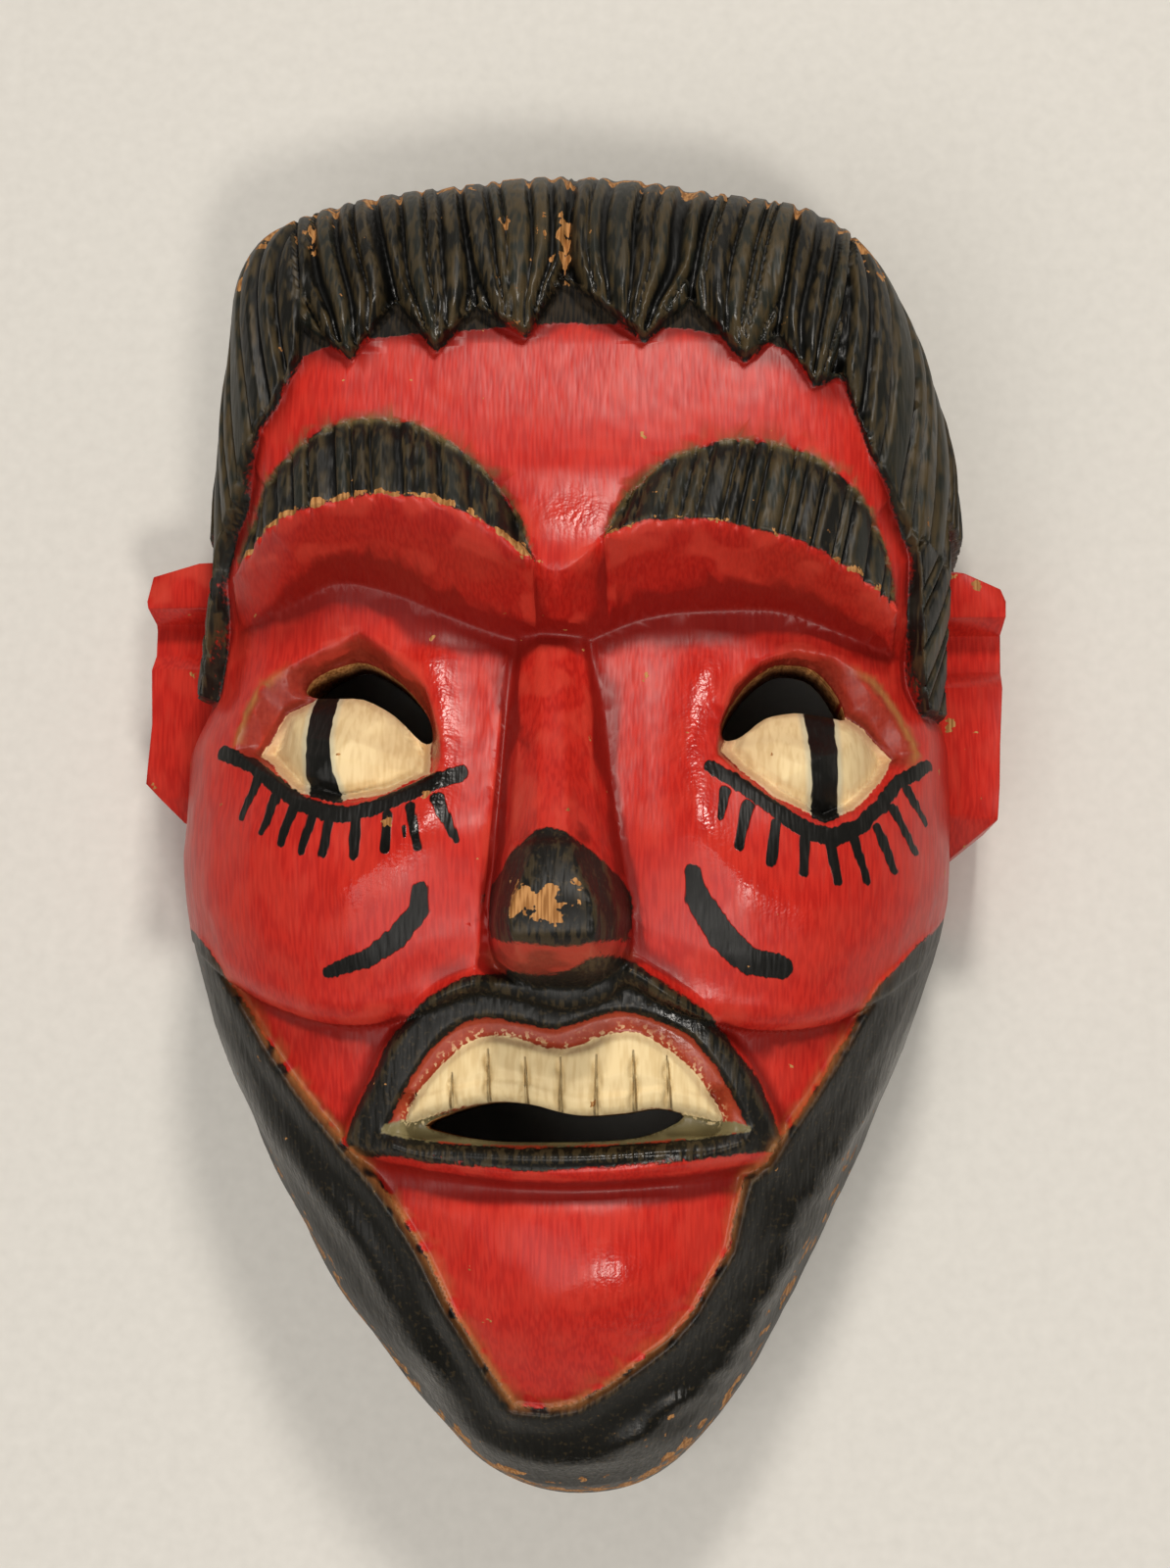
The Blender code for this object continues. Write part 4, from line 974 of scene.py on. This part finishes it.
def makeEar(side):
    outward = -1 if side == "Left" else 1
    ear = outlineBlock("ear" + side, ears["front" + side], "z", *ears["slab"], False)
    low, high = sorted(outward * edge for edge in ears["reach"])
    profile = ears["side" + side]
    combine(ear, outlineBlock("earSide", profile, "x", low, high, False), "INTERSECT")
    middle = sum(y for y, z in profile) / len(profile)
    turns = np.linspace(0, 2 * math.pi, 25)[:-1]
    wide, tall = ears["oval"]
    oval = [(middle + wide * math.cos(t), ears["ovalHigh"] + tall * math.sin(t)) for t in turns]
    start = 90.5 - ears["scoop"] if outward > 0 else -94.0
    combine(ear, outlineBlock("earScoop", oval, "x", start, start + 3.5 + ears["scoop"], False), "DIFFERENCE")
    weld(ear, 0.05)
    soft = ear.modifiers.new("worn", "BEVEL")
    soft.width = ears["edge"] * 0.001
    soft.segments = 3
    soft.limit_method = "ANGLE"
    soft.angle_limit = math.radians(22)
    bpy.context.view_layer.objects.active = ear
    bpy.ops.object.modifier_apply(modifier=soft.name)
    return ear


# the hollow behind the face, cleared with a gouge

hollow = {
    "height": [(-150, 36), (-125, 44), (-100, 56), (-60, 60), (-20, 60), (20, 54), (60, 64), (100, 64),
               (128, 60)],
    "sharpness": 2.8,
    "gougeWide": 13.0,
    "gougeLong": 24.0,
    "gougeDeep": 0.8,
    "pocket": (-0.5, -22.0),    # room for the wearer's nose
    "pocketHalf": (10.0, 15.0),
    "pocketDeep": 16.0,
    "through": 6.0,        # the cut starts this far below the floor
}


def hollowPoints(cells):
    reach, angle = discPoints(cells)
    sharp = hollow["sharpness"]
    rho, high = blockProfile(reach, sharp, sharp, sharp)
    radius = rimRadius(angle) - block["rimWall"]
    x = rho * radius * np.cos(angle)
    y = place["middleY"] + rho * radius * np.sin(angle)
    (midX, midY), (wide, long) = hollow["pocket"], hollow["pocketHalf"]
    pocket = hollow["pocketDeep"] * np.exp(-((x - midX) / wide) ** 2 - ((y - midY) / long) ** 2)
    z = high * (along(hollow["height"], y) + pocket)
    normal = skinNormals(x, y, z)
    dishes = knifeDishes(reach * 95.0, angle * 55.0, hollow["gougeWide"], hollow["gougeLong"], 21)
    inward = hollow["gougeDeep"] * dishes * smoothStep(0.03, 0.2, high)
    return np.stack([x, y, z], -1) - normal * inward[..., None]


# put together

def carveMask():
    point, marks = carve(quality["cells"])
    print("face carved on", quality["cells"], "cells")
    mask = gridShell("mask_carving", point)
    skin = point.reshape(-1, 3)
    surface = BVHTree.FromPolygons(skin.tolist(), gridFaces(quality["cells"]))
    combine(mask, makeEar("Left"), "UNION")
    combine(mask, makeEar("Right"), "UNION")
    print("ears joined on")
    tool = gridShell("hollow", hollowPoints(quality["hollowCells"]), -hollow["through"])
    combine(tool, outlineBlock("slit", eyes["slitLeft"], "z", 40, 100), "UNION")
    combine(tool, outlineBlock("slit", eyes["slitRight"], "z", 40, 110), "UNION")
    combine(tool, outlineBlock("slot", mouth["slot"], "z", 40, 110), "UNION")
    combine(mask, tool, "DIFFERENCE")
    print("hollow, slits and slot cut:", len(mask.data.polygons), "faces")
    weld(mask, 0.02)
    thin = mask.modifiers.new("thin", "DECIMATE")
    thin.ratio = min(1.0, quality["triangles"] / len(mask.data.polygons))
    bpy.context.view_layer.objects.active = mask
    bpy.ops.object.modifier_apply(modifier=thin.name)
    writeMarks(mask, surface, skin, marks, quality["cells"])
    settle(mask)
    print("mask has", len(mask.data.polygons), "triangles")
    return mask


def gridFaces(cells):
    row = cells + 1
    i = np.arange(cells)
    first = (i[:, None] * row + i[None, :]).ravel()
    return np.stack([first, first + 1, first + row + 1, first + row], -1).tolist()


def writeMarks(mask, surface, skin, marks, cells):
    # every vertex takes the marks of the nearest place on the carved skin
    count = len(mask.data.vertices)
    co = np.zeros(count * 3, np.float32)
    mask.data.vertices.foreach_get("co", co)
    co = co.reshape(-1, 3) * 1000.0
    face = np.zeros(count, int)
    near = np.zeros((count, 3))
    away = np.zeros(count)
    for k, p in enumerate(co):
        where, normal, index, distance = surface.find_nearest(p)
        face[k] = index
        near[k] = where
        away[k] = distance if (Vector(p) - where).dot(normal) > 0 else -distance
    row = cells + 1
    i = face // cells
    j = face % cells
    corners = [i * row + j, i * row + j + 1, (i + 1) * row + j + 1, (i + 1) * row + j]
    weights = []
    for corner in corners:
        gap = np.linalg.norm(near - skin[corner], axis=1)
        weights.append(1.0 / (gap + 0.02) ** 2)
    total = sum(weights)
    for name, values in marks.items():
        flat = values.ravel()
        value = sum(w * flat[c] for w, c in zip(weights, corners)) / total
        if name in ("hairInk", "beardInk"):
            value = np.where(away > 0.8, -5.0, value)    # the ears are red all over
        attribute = mask.data.attributes.new(name, "FLOAT", "POINT")
        attribute.data.foreach_set("value", value.astype(np.float32))
    attribute = mask.data.attributes.new("offSkin", "FLOAT", "POINT")
    attribute.data.foreach_set("value", away.astype(np.float32))


def settle(mask):
    # into the frame, the rim flat on the floor, and inside the box of the solid
    co = np.zeros(len(mask.data.vertices) * 3, np.float32)
    mask.data.vertices.foreach_get("co", co)
    co = co.reshape(-1, 3).astype(float)
    co[:, 2] = np.where(co[:, 2] < 0.0004, 0.0, co[:, 2])
    co[:, 0] += place["shiftX"] * 0.001
    co[:, 1] += place["shiftY"] * 0.001
    margin = 0.00002
    low = np.array(cadLow) + np.array([margin, margin, 0.0])
    high = np.array(cadHigh) - margin
    setPoints(mask, np.clip(co, low, high))


# materials

def colour(code):
    channels = []
    for i in (0, 2, 4):
        c = int(code[i:i + 2], 16) / 255
        channels.append(c / 12.92 if c <= 0.04045 else ((c + 0.055) / 1.055) ** 2.4)
    return (*channels, 1.0)


nodes = {
    # what it does: node, its settings, its input sockets, its output
    "add": ("Math", {"operation": "ADD"}, (0, 1), 0),
    "subtract": ("Math", {"operation": "SUBTRACT"}, (0, 1), 0),
    "multiply": ("Math", {"operation": "MULTIPLY"}, (0, 1), 0),
    "multiplyAdd": ("Math", {"operation": "MULTIPLY_ADD"}, (0, 1, 2), 0),
    "smaller": ("Math", {"operation": "MINIMUM"}, (0, 1), 0),
    "larger": ("Math", {"operation": "MAXIMUM"}, (0, 1), 0),
    "share": ("Clamp", {}, (0,), 0),
    "rise": ("MapRange", {"interpolation_type": "SMOOTHSTEP"}, (0, 1, 2), 0),
    "blend": ("Mix", {"data_type": "RGBA"}, (0, 6, 7), 2),
    "blendNumber": ("Mix", {"data_type": "FLOAT"}, (0, 2, 3), 0),
    "stretch": ("VectorMath", {"operation": "MULTIPLY"}, (0, 1), 0),
    "stretchAdd": ("VectorMath", {"operation": "MULTIPLY_ADD"}, (0, 1, 2), 0),
    "from": ("VectorMath", {"operation": "SUBTRACT"}, (0, 1), 0),
    "along": ("VectorMath", {"operation": "DOT_PRODUCT"}, (0, 1), "Value"),
    "times": ("VectorMath", {"operation": "SCALE"}, (0, "Scale"), 0),
    "gap": ("VectorMath", {"operation": "DISTANCE"}, (0, 1), "Value"),
    "height": ("SeparateXYZ", {}, (0,), 1),
    "place": ("TexCoord", {}, (), "Object"),
    "mark": ("Attribute", {}, (), "Fac"),
    "noise": ("TexNoise", {}, ("Vector", "Scale", "Detail", "Roughness"), 0),
    "relief": ("Bump", {}, ("Strength", "Distance", "Height"), 0),
    "paint": ("BsdfPrincipled", {}, ("Base Color", "Roughness", "Normal", "Specular IOR Level"), 0),
    "surface": ("OutputMaterial", {}, ("Surface",), None),
}


def addNode(tree, use, *values, **settings):
    kind, fixed, sockets, output = nodes[use]
    node = tree.nodes.new("ShaderNode" + kind)
    for name, value in {**fixed, **settings}.items():
        setattr(node, name, value)
    for socket, value in zip(sockets, values):
        if isinstance(value, bpy.types.NodeSocket):
            tree.links.new(value, node.inputs[socket])
        else:
            node.inputs[socket].default_value = value
    return None if output is None else node.outputs[output]


def newMaterial(name, grains):
    # an empty material: addNode bound to its tree, its coordinates in millimetres, and its noises, whose
    # features are about size millimetres across and longer where stretch is below one
    material = bpy.data.materials.new(name)
    material.use_nodes = True
    material.node_tree.nodes.clear()
    add = partial(addNode, material.node_tree)
    toDesign = (-place["shiftX"], -place["shiftY"], 0.0)
    mm = add("stretchAdd", add("place"), (1000.0, 1000.0, 1000.0), toDesign)
    noises = [add("noise", add("stretch", mm, stretch), 1.0 / size, detail, roughness)
              for size, stretch, detail, roughness in grains.values()]
    return material, add, mm, noises


def strokeDistance(add, flat, chains):
    # distance to the outline of brush strokes, each a chain of (x, y, half width); negative inside
    nearest = None
    for chain in chains:
        for (ax, ay, ra), (bx, by, rb) in zip(chain[:-1], chain[1:]):
            dx = bx - ax
            dy = by - ay
            size = dx * dx + dy * dy
            toPoint = add("from", flat, (ax, ay, 0))
            share = add("share", add("along", toPoint, (dx / size, dy / size, 0)))
            gap = add("gap", toPoint, add("times", (dx, dy, 0), share))
            gap = add("subtract", gap, add("multiplyAdd", share, rb - ra, ra))
            nearest = gap if nearest is None else add("smaller", nearest, gap)
    return nearest


strokes = {
    "lids": [
        [(-68.8, 4.5, 1.59), (-61.9, 1.1, 1.46), (-56.7, -3.2, 1.59), (-51.1, -7.7, 1.59),
         (-45.7, -10.0, 1.71), (-41.2, -10.6, 1.71), (-35.9, -9.3, 1.59), (-29.7, -6.5, 1.71),
         (-25.1, -4.4, 1.83), (-19.8, -2.4, 1.59)],
        [(28.0, -1.5, 1.34), (32.1, -4.0, 1.46), (37.6, -8.0, 1.46), (42.5, -11.8, 1.59),
         (47.1, -14.3, 1.83), (51.3, -15.1, 1.83), (56.2, -12.8, 1.59), (61.0, -8.0, 1.46),
         (64.9, -2.4, 1.46), (68.3, -0.5, 1.46), (71.2, 1.8, 1.22)],
    ],
    "lashes": [
        [(-60.4, -1.8, 1.20), (-63.4, -9.6, 0.60)], [(-56.2, -6.3, 1.20), (-58.5, -13.2, 0.72)],
        [(-52.4, -9.0, 1.20), (-54.2, -15.6, 0.84)], [(-48.0, -10.5, 1.08), (-49.9, -17.4, 0.72)],
        [(-44.7, -11.4, 0.96), (-45.6, -18.0, 0.96)], [(-39.4, -11.6, 1.08), (-39.6, -18.6, 1.08)],
        [(-33.4, -10.8, 1.08), (-33.4, -17.4, 1.08)], [(-30.1, -13.4, 0.48), (-29.8, -15.2, 0.36)],
        [(-29.0, -9.4, 1.08), (-27.4, -17.4, 0.72)], [(-24.0, -7.8, 1.44), (-20.2, -15.8, 0.72)],
        [(30.7, -6.6, 1.20), (29.7, -11.6, 0.72)], [(34.9, -9.4, 1.32), (33.1, -17.2, 0.96)],
        [(40.3, -12.8, 1.08), (39.2, -20.2, 0.96)], [(45.8, -15.3, 1.08), (45.4, -22.0, 0.96)],
        [(50.5, -16.4, 1.08), (51.9, -23.4, 0.84)], [(55.3, -15.2, 1.08), (57.8, -23.0, 0.72)],
        [(60.0, -12.4, 1.08), (63.4, -20.6, 0.72)], [(63.4, -8.1, 1.08), (68.0, -16.2, 0.72)],
        [(66.7, -4.0, 1.08), (70.6, -10.0, 0.60)],
    ],
    "smiles": [
        [(-26.8, -25.0, 1.46), (-27.2, -29.1, 1.95), (-31.2, -34.0, 2.07), (-37.5, -38.1, 1.71),
         (-45.2, -40.2, 1.10)],
        [(24.4, -22.2, 1.59), (25.4, -27.0, 2.44), (29.6, -33.7, 2.68), (34.9, -38.6, 2.56),
         (41.2, -39.6, 2.20)],
    ],
    "pupils": [
        [(-47.6, 18.0, 2.5), (-48.4, 6.3, 2.5), (-47.5, -2.1, 2.6), (-45.6, -8.0, 3.0)],
        [(49.2, 13.0, 3.1), (49.7, 5.0, 2.8), (49.9, -1.5, 2.6), (49.9, -12.0, 2.6)],
    ],
}
looks = {
    "red": ("6E0F0A", "AE1F17", "BF281D", "CA4030"),       # painted shade in creases and under the brows, thin paint, body, where it is palest
    "black": ("040403", "11100C", "23251F", "463A25"),     # painted shade at the bottoms of cuts and the black of the strokes, body, painted blue-grey sheen, worn
    "ground": ("0E0B07", "2A2115"),                        # the cut ground between the locks, darkened as painted shade under the lock tips
    # painted shade on the upper socket walls and under the nose
    "socket": ("5E1A10", "8E3826"),
    "worn": ("75502C", "B3743F"),
    "wornDark": ("3E3320", "7A683F"),                      # the same over the brows, browner and dirtier
    "lip": ("862C1A", "A8452A"),
    # the inner lip's beige-grey, darkened as painted shade
    "innerLipShaded": ("4E4730", "7F7450"),
    # thin, body, border, by the pupil, painted shade in the cuts
    "cream": ("D9BE8C", "E6CE9D", "C08E6C", "AEB5A6", "8C7444"),
    "wood": ("8A5A2A", "BA8650"),
    "hollow": ("6E4A2A", "A57C4E", "BF9A6B"),
    "paper": ("CFCCC6", "DAD7D1"),
    "edge": 0.45,          # raggedness of a brushed edge in millimetres
    "specular": 0.26,
    "millimetre": 0.001,   # one unit of relief height in metres
    # name: size in millimetres, stretch, detail, roughness
    "grains": {
        "fine": (1.0, (1.0, 1.0, 1.0), 1.0, 0.6),
        "slow": (7.0, (1.0, 1.0, 1.0), 0.0, 0.55),
        "streak": (0.5, (1.0, 0.09, 0.35), 0.0, 0.55),      # hairs of the brush
        "coarse": (1.1, (1.0, 0.16, 0.35), 1.0, 0.65),      # ropy brush strokes
        "wave": (3.5, (1.0, 1.0, 1.0), 0.0, 0.55),
    },
    "woodGrains": {
        "fibre": (0.8, (1.0, 0.04, 0.5), 5.0, 0.6),
        "rings": (6.0, (1.0, 0.03, 1.0), 2.0, 0.55),
        "stain": (22.0, (1.0, 1.0, 1.0), 3.0, 0.55),
    },
    "paperGrains": {"mottle": (3.0, (1.0, 1.0, 1.0), 1.0, 0.55)},
    "marks": ["ridge", "sunkShade", "groove", "strand", "socketWallShade", "beardInk", "hairInk", "underHair",
              "lipStrip", "wornLine", "inLip", "ball", "flecks", "teeth", "chips", "offSkin", "polished"],
    # roughness of red, black, cream, bare wood, rubbed bright
    "gloss": (0.40, 0.47, 0.50, 0.72, 0.18),
}


def brushedPaint(name, lines=(), slits=(), cuts=()):
    # Enamel brushed in two or three coats over a carved and primed face. It dries glossy, with the streaks of
    # the brush along each form and small pits over the pores; handling has worn the arrises to the wood.
    material, add, mm, (fine, slow, streak, coarse, wave) = newMaterial(name, looks["grains"])
    marked = {field: add("mark", attribute_name=field) for field in looks["marks"]}
    edge = add("multiplyAdd", fine, 2.0 * looks["edge"], -looks["edge"])
    edge = add("add", edge, add("multiplyAdd", slow, 1.2, -0.6))
    ridge = marked["ridge"]
    groove = marked["groove"]

    def area(field, soft=0.25):
        return add("rise", add("add", field, edge), -soft, soft)

    red = [colour(code) for code in looks["red"]]
    body = add("blend", add("rise", streak, 0.32, 0.68), red[1], red[2])
    body = add("blend", add("multiply", add("rise", slow, 0.45, 0.70), 0.25), body, red[3])
    body = add("blend", add("multiply", add("rise", coarse, 0.56, 0.72), 0.20), body, red[3])
    # painted shade: the red darkens toward its deepest tone in sunken places and under the brows
    body = add("blend", add("multiply", add("rise", marked["sunkShade"], 0.15, 1.1), 0.8), body, red[0])
    # painted shade: the upper socket walls and the nose's underside turn dark brown-red
    wall = add("multiply", area(marked["socketWallShade"], 1.2), 0.75)
    socket = [colour(code) for code in looks["socket"]]
    body = add("blend", wall, body, add("blend", fine, socket[0], socket[1]))
    rub = add("multiply", add("rise", ridge, 0.05, 0.22), add("rise", slow, 0.42, 0.62))
    body = add("blend", add("multiply", rub, 0.5), body, red[3])

    black = [colour(code) for code in looks["black"]]
    strand = marked["strand"]
    # random tone per strand and brush streak, which also lays a painted blue-grey sheen on the black
    sheenTone = add("multiplyAdd", coarse, 0.6, add("multiplyAdd", strand, 0.7, -0.25))
    ink = add("blend", add("rise", sheenTone, 0.10, 0.75), black[1], black[2])
    onWall = add("multiply", add("rise", groove, 0.02, 0.25), add("rise", groove, 0.95, 0.45))
    onWall = add("larger", onWall, add("rise", strand, 0.68, 0.90))
    worn = add("multiply", onWall, add("rise", add("add", coarse, wave), 0.70, 1.25))
    ink = add("blend", add("multiply", worn, 0.9), ink, black[3])
    # painted shade: the bottoms of the cuts go darkest black
    ink = add("blend", add("rise", groove, 0.32, 0.72), ink, black[0])
    inkWear = add("multiply", add("rise", ridge, 0.10, 0.35), add("rise", coarse, 0.46, 0.60))
    ink = add("blend", add("multiply", inkWear, 0.6), ink, black[3])
    grit = add("multiply", add("rise", fine, 0.56, 0.72), add("rise", marked["beardInk"], -0.5, 0.5))
    ink = add("blend", add("multiply", grit, 0.4), ink, black[3])

    # painted shade on the cut ground between the locks
    ground = area(marked["underHair"])
    groundShade = [colour(code) for code in looks["ground"]]
    ink = add("blend", ground, ink, add("blend", add("rise", streak, 0.35, 0.65), groundShade[0], groundShade[1]))

    inked = area(add("larger", marked["hairInk"], marked["beardInk"]))
    shade = add("blend", inked, body, ink)

    lip = add("blend", fine, colour(looks["lip"][0]), colour(looks["lip"][1]))
    lipped = area(marked["lipStrip"])
    shade = add("blend", add("multiply", lipped, add("subtract", 1.0, inked)), shade, lip)
    rubbed = add("multiply", marked["wornLine"], add("rise", wave, 0.30, 0.48))
    overBrow = add("rise", add("height", mm), 24.0, 30.0)
    rubColour = add("blend", coarse, colour(looks["worn"][0]), colour(looks["worn"][1]))
    darkRub = add("blend", coarse, colour(looks["wornDark"][0]), colour(looks["wornDark"][1]))
    shade = add("blend", rubbed, shade, add("blend", overBrow, rubColour, darkRub))
    # the inner lip's own beige-grey, darkened as painted shade
    inner = add("blend", slow, colour(looks["innerLipShaded"][0]), colour(looks["innerLipShaded"][1]))
    shade = add("blend", area(marked["inLip"]), shade, inner)

    cream = [colour(code) for code in looks["cream"]]
    pale = add("blend", add("rise", coarse, 0.30, 0.60), cream[0], cream[1])
    ball = marked["ball"]
    border = add("rise", add("multiplyAdd", fine, 2.2, ball), 4.2, 1.6)
    border = add("multiply", border, add("rise", ball, -1.0, 0.2))
    pale = add("blend", add("multiply", border, 0.65), pale, cream[2])
    # painted shade: the cuts darken the cream toward brown
    pale = add("blend", add("multiply", groove, 0.35), pale, cream[4])
    fleck = add("multiply", marked["flecks"], add("multiply", add("rise", fine, 0.54, 0.62), 0.7))
    creamed = add("larger", area(add("larger", marked["teeth"], ball), 0.15), fleck)
    shade = add("blend", creamed, shade, pale)
    dark = inked
    height = add("multiply", wave, 0.09)
    flat = add("stretch", mm, (1.0, 1.0, 0.0))
    if cuts:
        notch = add("multiply", add("rise", strokeDistance(add, flat, cuts), 0.30, -0.35), creamed)
        height = add("multiplyAdd", notch, -0.8, height)
        # painted shade in the cuts between the teeth
        shade = add("blend", add("multiply", notch, 0.40), shade, cream[4])
    if lines:
        brushed = strokeDistance(add, flat, lines)
        slit = strokeDistance(add, flat, slits)
        onBall = add("subtract", -0.3, ball)
        brushed = add("smaller", brushed, add("larger", slit, onBall))
        brushed = add("add", brushed, add("multiplyAdd", coarse, 1.1, -0.55))
        stroked = add("rise", brushed, 0.14, -0.14)
        blue = add("multiply", add("rise", slit, 1.6, 0.2), creamed)
        shade = add("blend", add("multiply", blue, 0.5), shade, cream[3])
        shade = add("blend", stroked, shade, add("blend", fine, black[0], black[1]))
        dark = add("larger", inked, stroked)

    wood = [colour(code) for code in looks["wood"]]
    bare = add("blend", add("rise", streak, 0.3, 0.7), wood[0], wood[1])
    flake = add("multiplyAdd", fine, 0.28, add("multiply", wave, 0.72))
    chips = add("multiplyAdd", marked["chips"], 0.34, flake)
    chipped = add("rise", chips, 0.765, 0.79)
    innerWood = add("add", marked["offSkin"], add("multiplyAdd", slow, 2.4, -1.2))
    chipped = add("larger", chipped, add("rise", innerWood, -1.2, -2.0))
    shade = add("blend", chipped, shade, bare)

    gloss = looks["gloss"]
    rough = add("blendNumber", dark, gloss[0], gloss[1])
    rough = add("blendNumber", creamed, rough, gloss[2])
    rough = add("multiplyAdd", ground, 0.3, rough)
    polished = add("multiply", marked["polished"], add("subtract", 1.0, creamed))
    rough = add("blendNumber", add("multiply", polished, 0.85), rough, gloss[4])
    rough = add("multiplyAdd", coarse, 0.16, add("add", rough, -0.08))
    rough = add("blendNumber", chipped, rough, gloss[3])

    height = add("multiplyAdd", coarse, add("multiplyAdd", dark, 0.16, 0.07), height)
    height = add("multiplyAdd", add("multiply", polished, fine), 0.14, height)
    relief = add("relief", 1.0, looks["millimetre"], height)
    add("surface", add("paint", shade, rough, relief, looks["specular"]))
    return material


def gougedWood():
    # Bare light hardwood cleared with a gouge and rubbed by wear: fibres run up the block, and the
    # hollows hold the dirt.
    material, add, mm, (fibre, rings, stain) = newMaterial("gouged_hardwood", looks["woodGrains"])
    tone = [colour(code) for code in looks["hollow"]]
    shade = add("blend", add("rise", fibre, 0.3, 0.7), tone[1], tone[2])
    shade = add("blend", add("multiply", add("rise", rings, 0.48, 0.56), 0.35), shade, tone[0])
    shade = add("blend", add("multiply", add("rise", stain, 0.5, 0.7), 0.5), shade, tone[0])
    height = add("multiplyAdd", rings, 0.25, add("multiply", fibre, 0.12))
    relief = add("relief", 1.0, looks["millimetre"], height)
    add("surface", add("paint", shade, add("blendNumber", fibre, 0.62, 0.85), relief))
    return material


def floorPaper():
    # Matt background paper: a soft even fibre that only shows as a faint mottle.
    material, add, mm, (mottle,) = newMaterial("matt_paper", looks["paperGrains"])
    shade = add("blend", mottle, *[colour(code) for code in looks["paper"]])
    add("surface", add("paint", shade, 0.9))
    return material


def paintMask(mask):
    # painted outside, stroked round the eyes, bare inside and on the rim
    mask.data.materials.clear()
    every = strokes["lids"] + strokes["lashes"] + strokes["smiles"]
    left = [chain for chain in every if chain[0][0] < 0]
    right = [chain for chain in every if chain[0][0] > 0]
    teethCuts = [[(cut, top, 0.0), (cut + lean, -69.0, 0.35)] for cut, top, lean in
                 zip(mouth["cuts"], mouth["cutTops"], mouth["cutLeans"])]
    paints = [brushedPaint("brushed_enamel"),
              brushedPaint("brushed_enamel_left_eye", left, strokes["pupils"][:1]),
              brushedPaint("brushed_enamel_right_eye", right, strokes["pupils"][1:]),
              brushedPaint("brushed_enamel_teeth", cuts=teethCuts),
              gougedWood()]
    for paint in paints:
        mask.data.materials.append(paint)
    count = len(mask.data.polygons)
    centre = np.zeros(count * 3, np.float32)
    mask.data.polygons.foreach_get("center", centre)
    centre = centre.reshape(-1, 3) * 1000.0 - np.array([place["shiftX"], place["shiftY"], 0.0])
    corners = np.zeros(count * 3, np.int32)
    mask.data.polygons.foreach_get("vertices", corners)
    off = np.zeros(len(mask.data.vertices), np.float32)
    mask.data.attributes["offSkin"].data.foreach_get("value", off)
    inside = off[corners.reshape(-1, 3)].max(1) < -2.4
    x, y, z = centre.T
    onEyes = (y > -44) & (y < 18) & (np.abs(x) > 15) & (z > 40)
    onTeeth = (np.abs(y + 62.0) < 11) & (np.abs(x) < 32) & (z > 40)
    index = np.where(onEyes, np.where(x < 0, 1, 2), np.where(onTeeth, 3, 0))
    index = np.where(inside, 4, index).astype(np.int32)
    mask.data.polygons.foreach_set("material_index", index)
    mask.data.polygons.foreach_set("use_smooth", np.ones(count, bool))
    mask.data.update()


def makeFloor():
    deselect()
    bpy.ops.mesh.primitive_plane_add(size=6.0, location=(0, 0, 0))
    floor = bpy.context.object
    floor.name = "floor"
    floor.data.materials.append(floorPaper())


mask = carveMask()
paintMask(mask)
makeFloor()
print("painted")
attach(mask, "root")
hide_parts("mask")
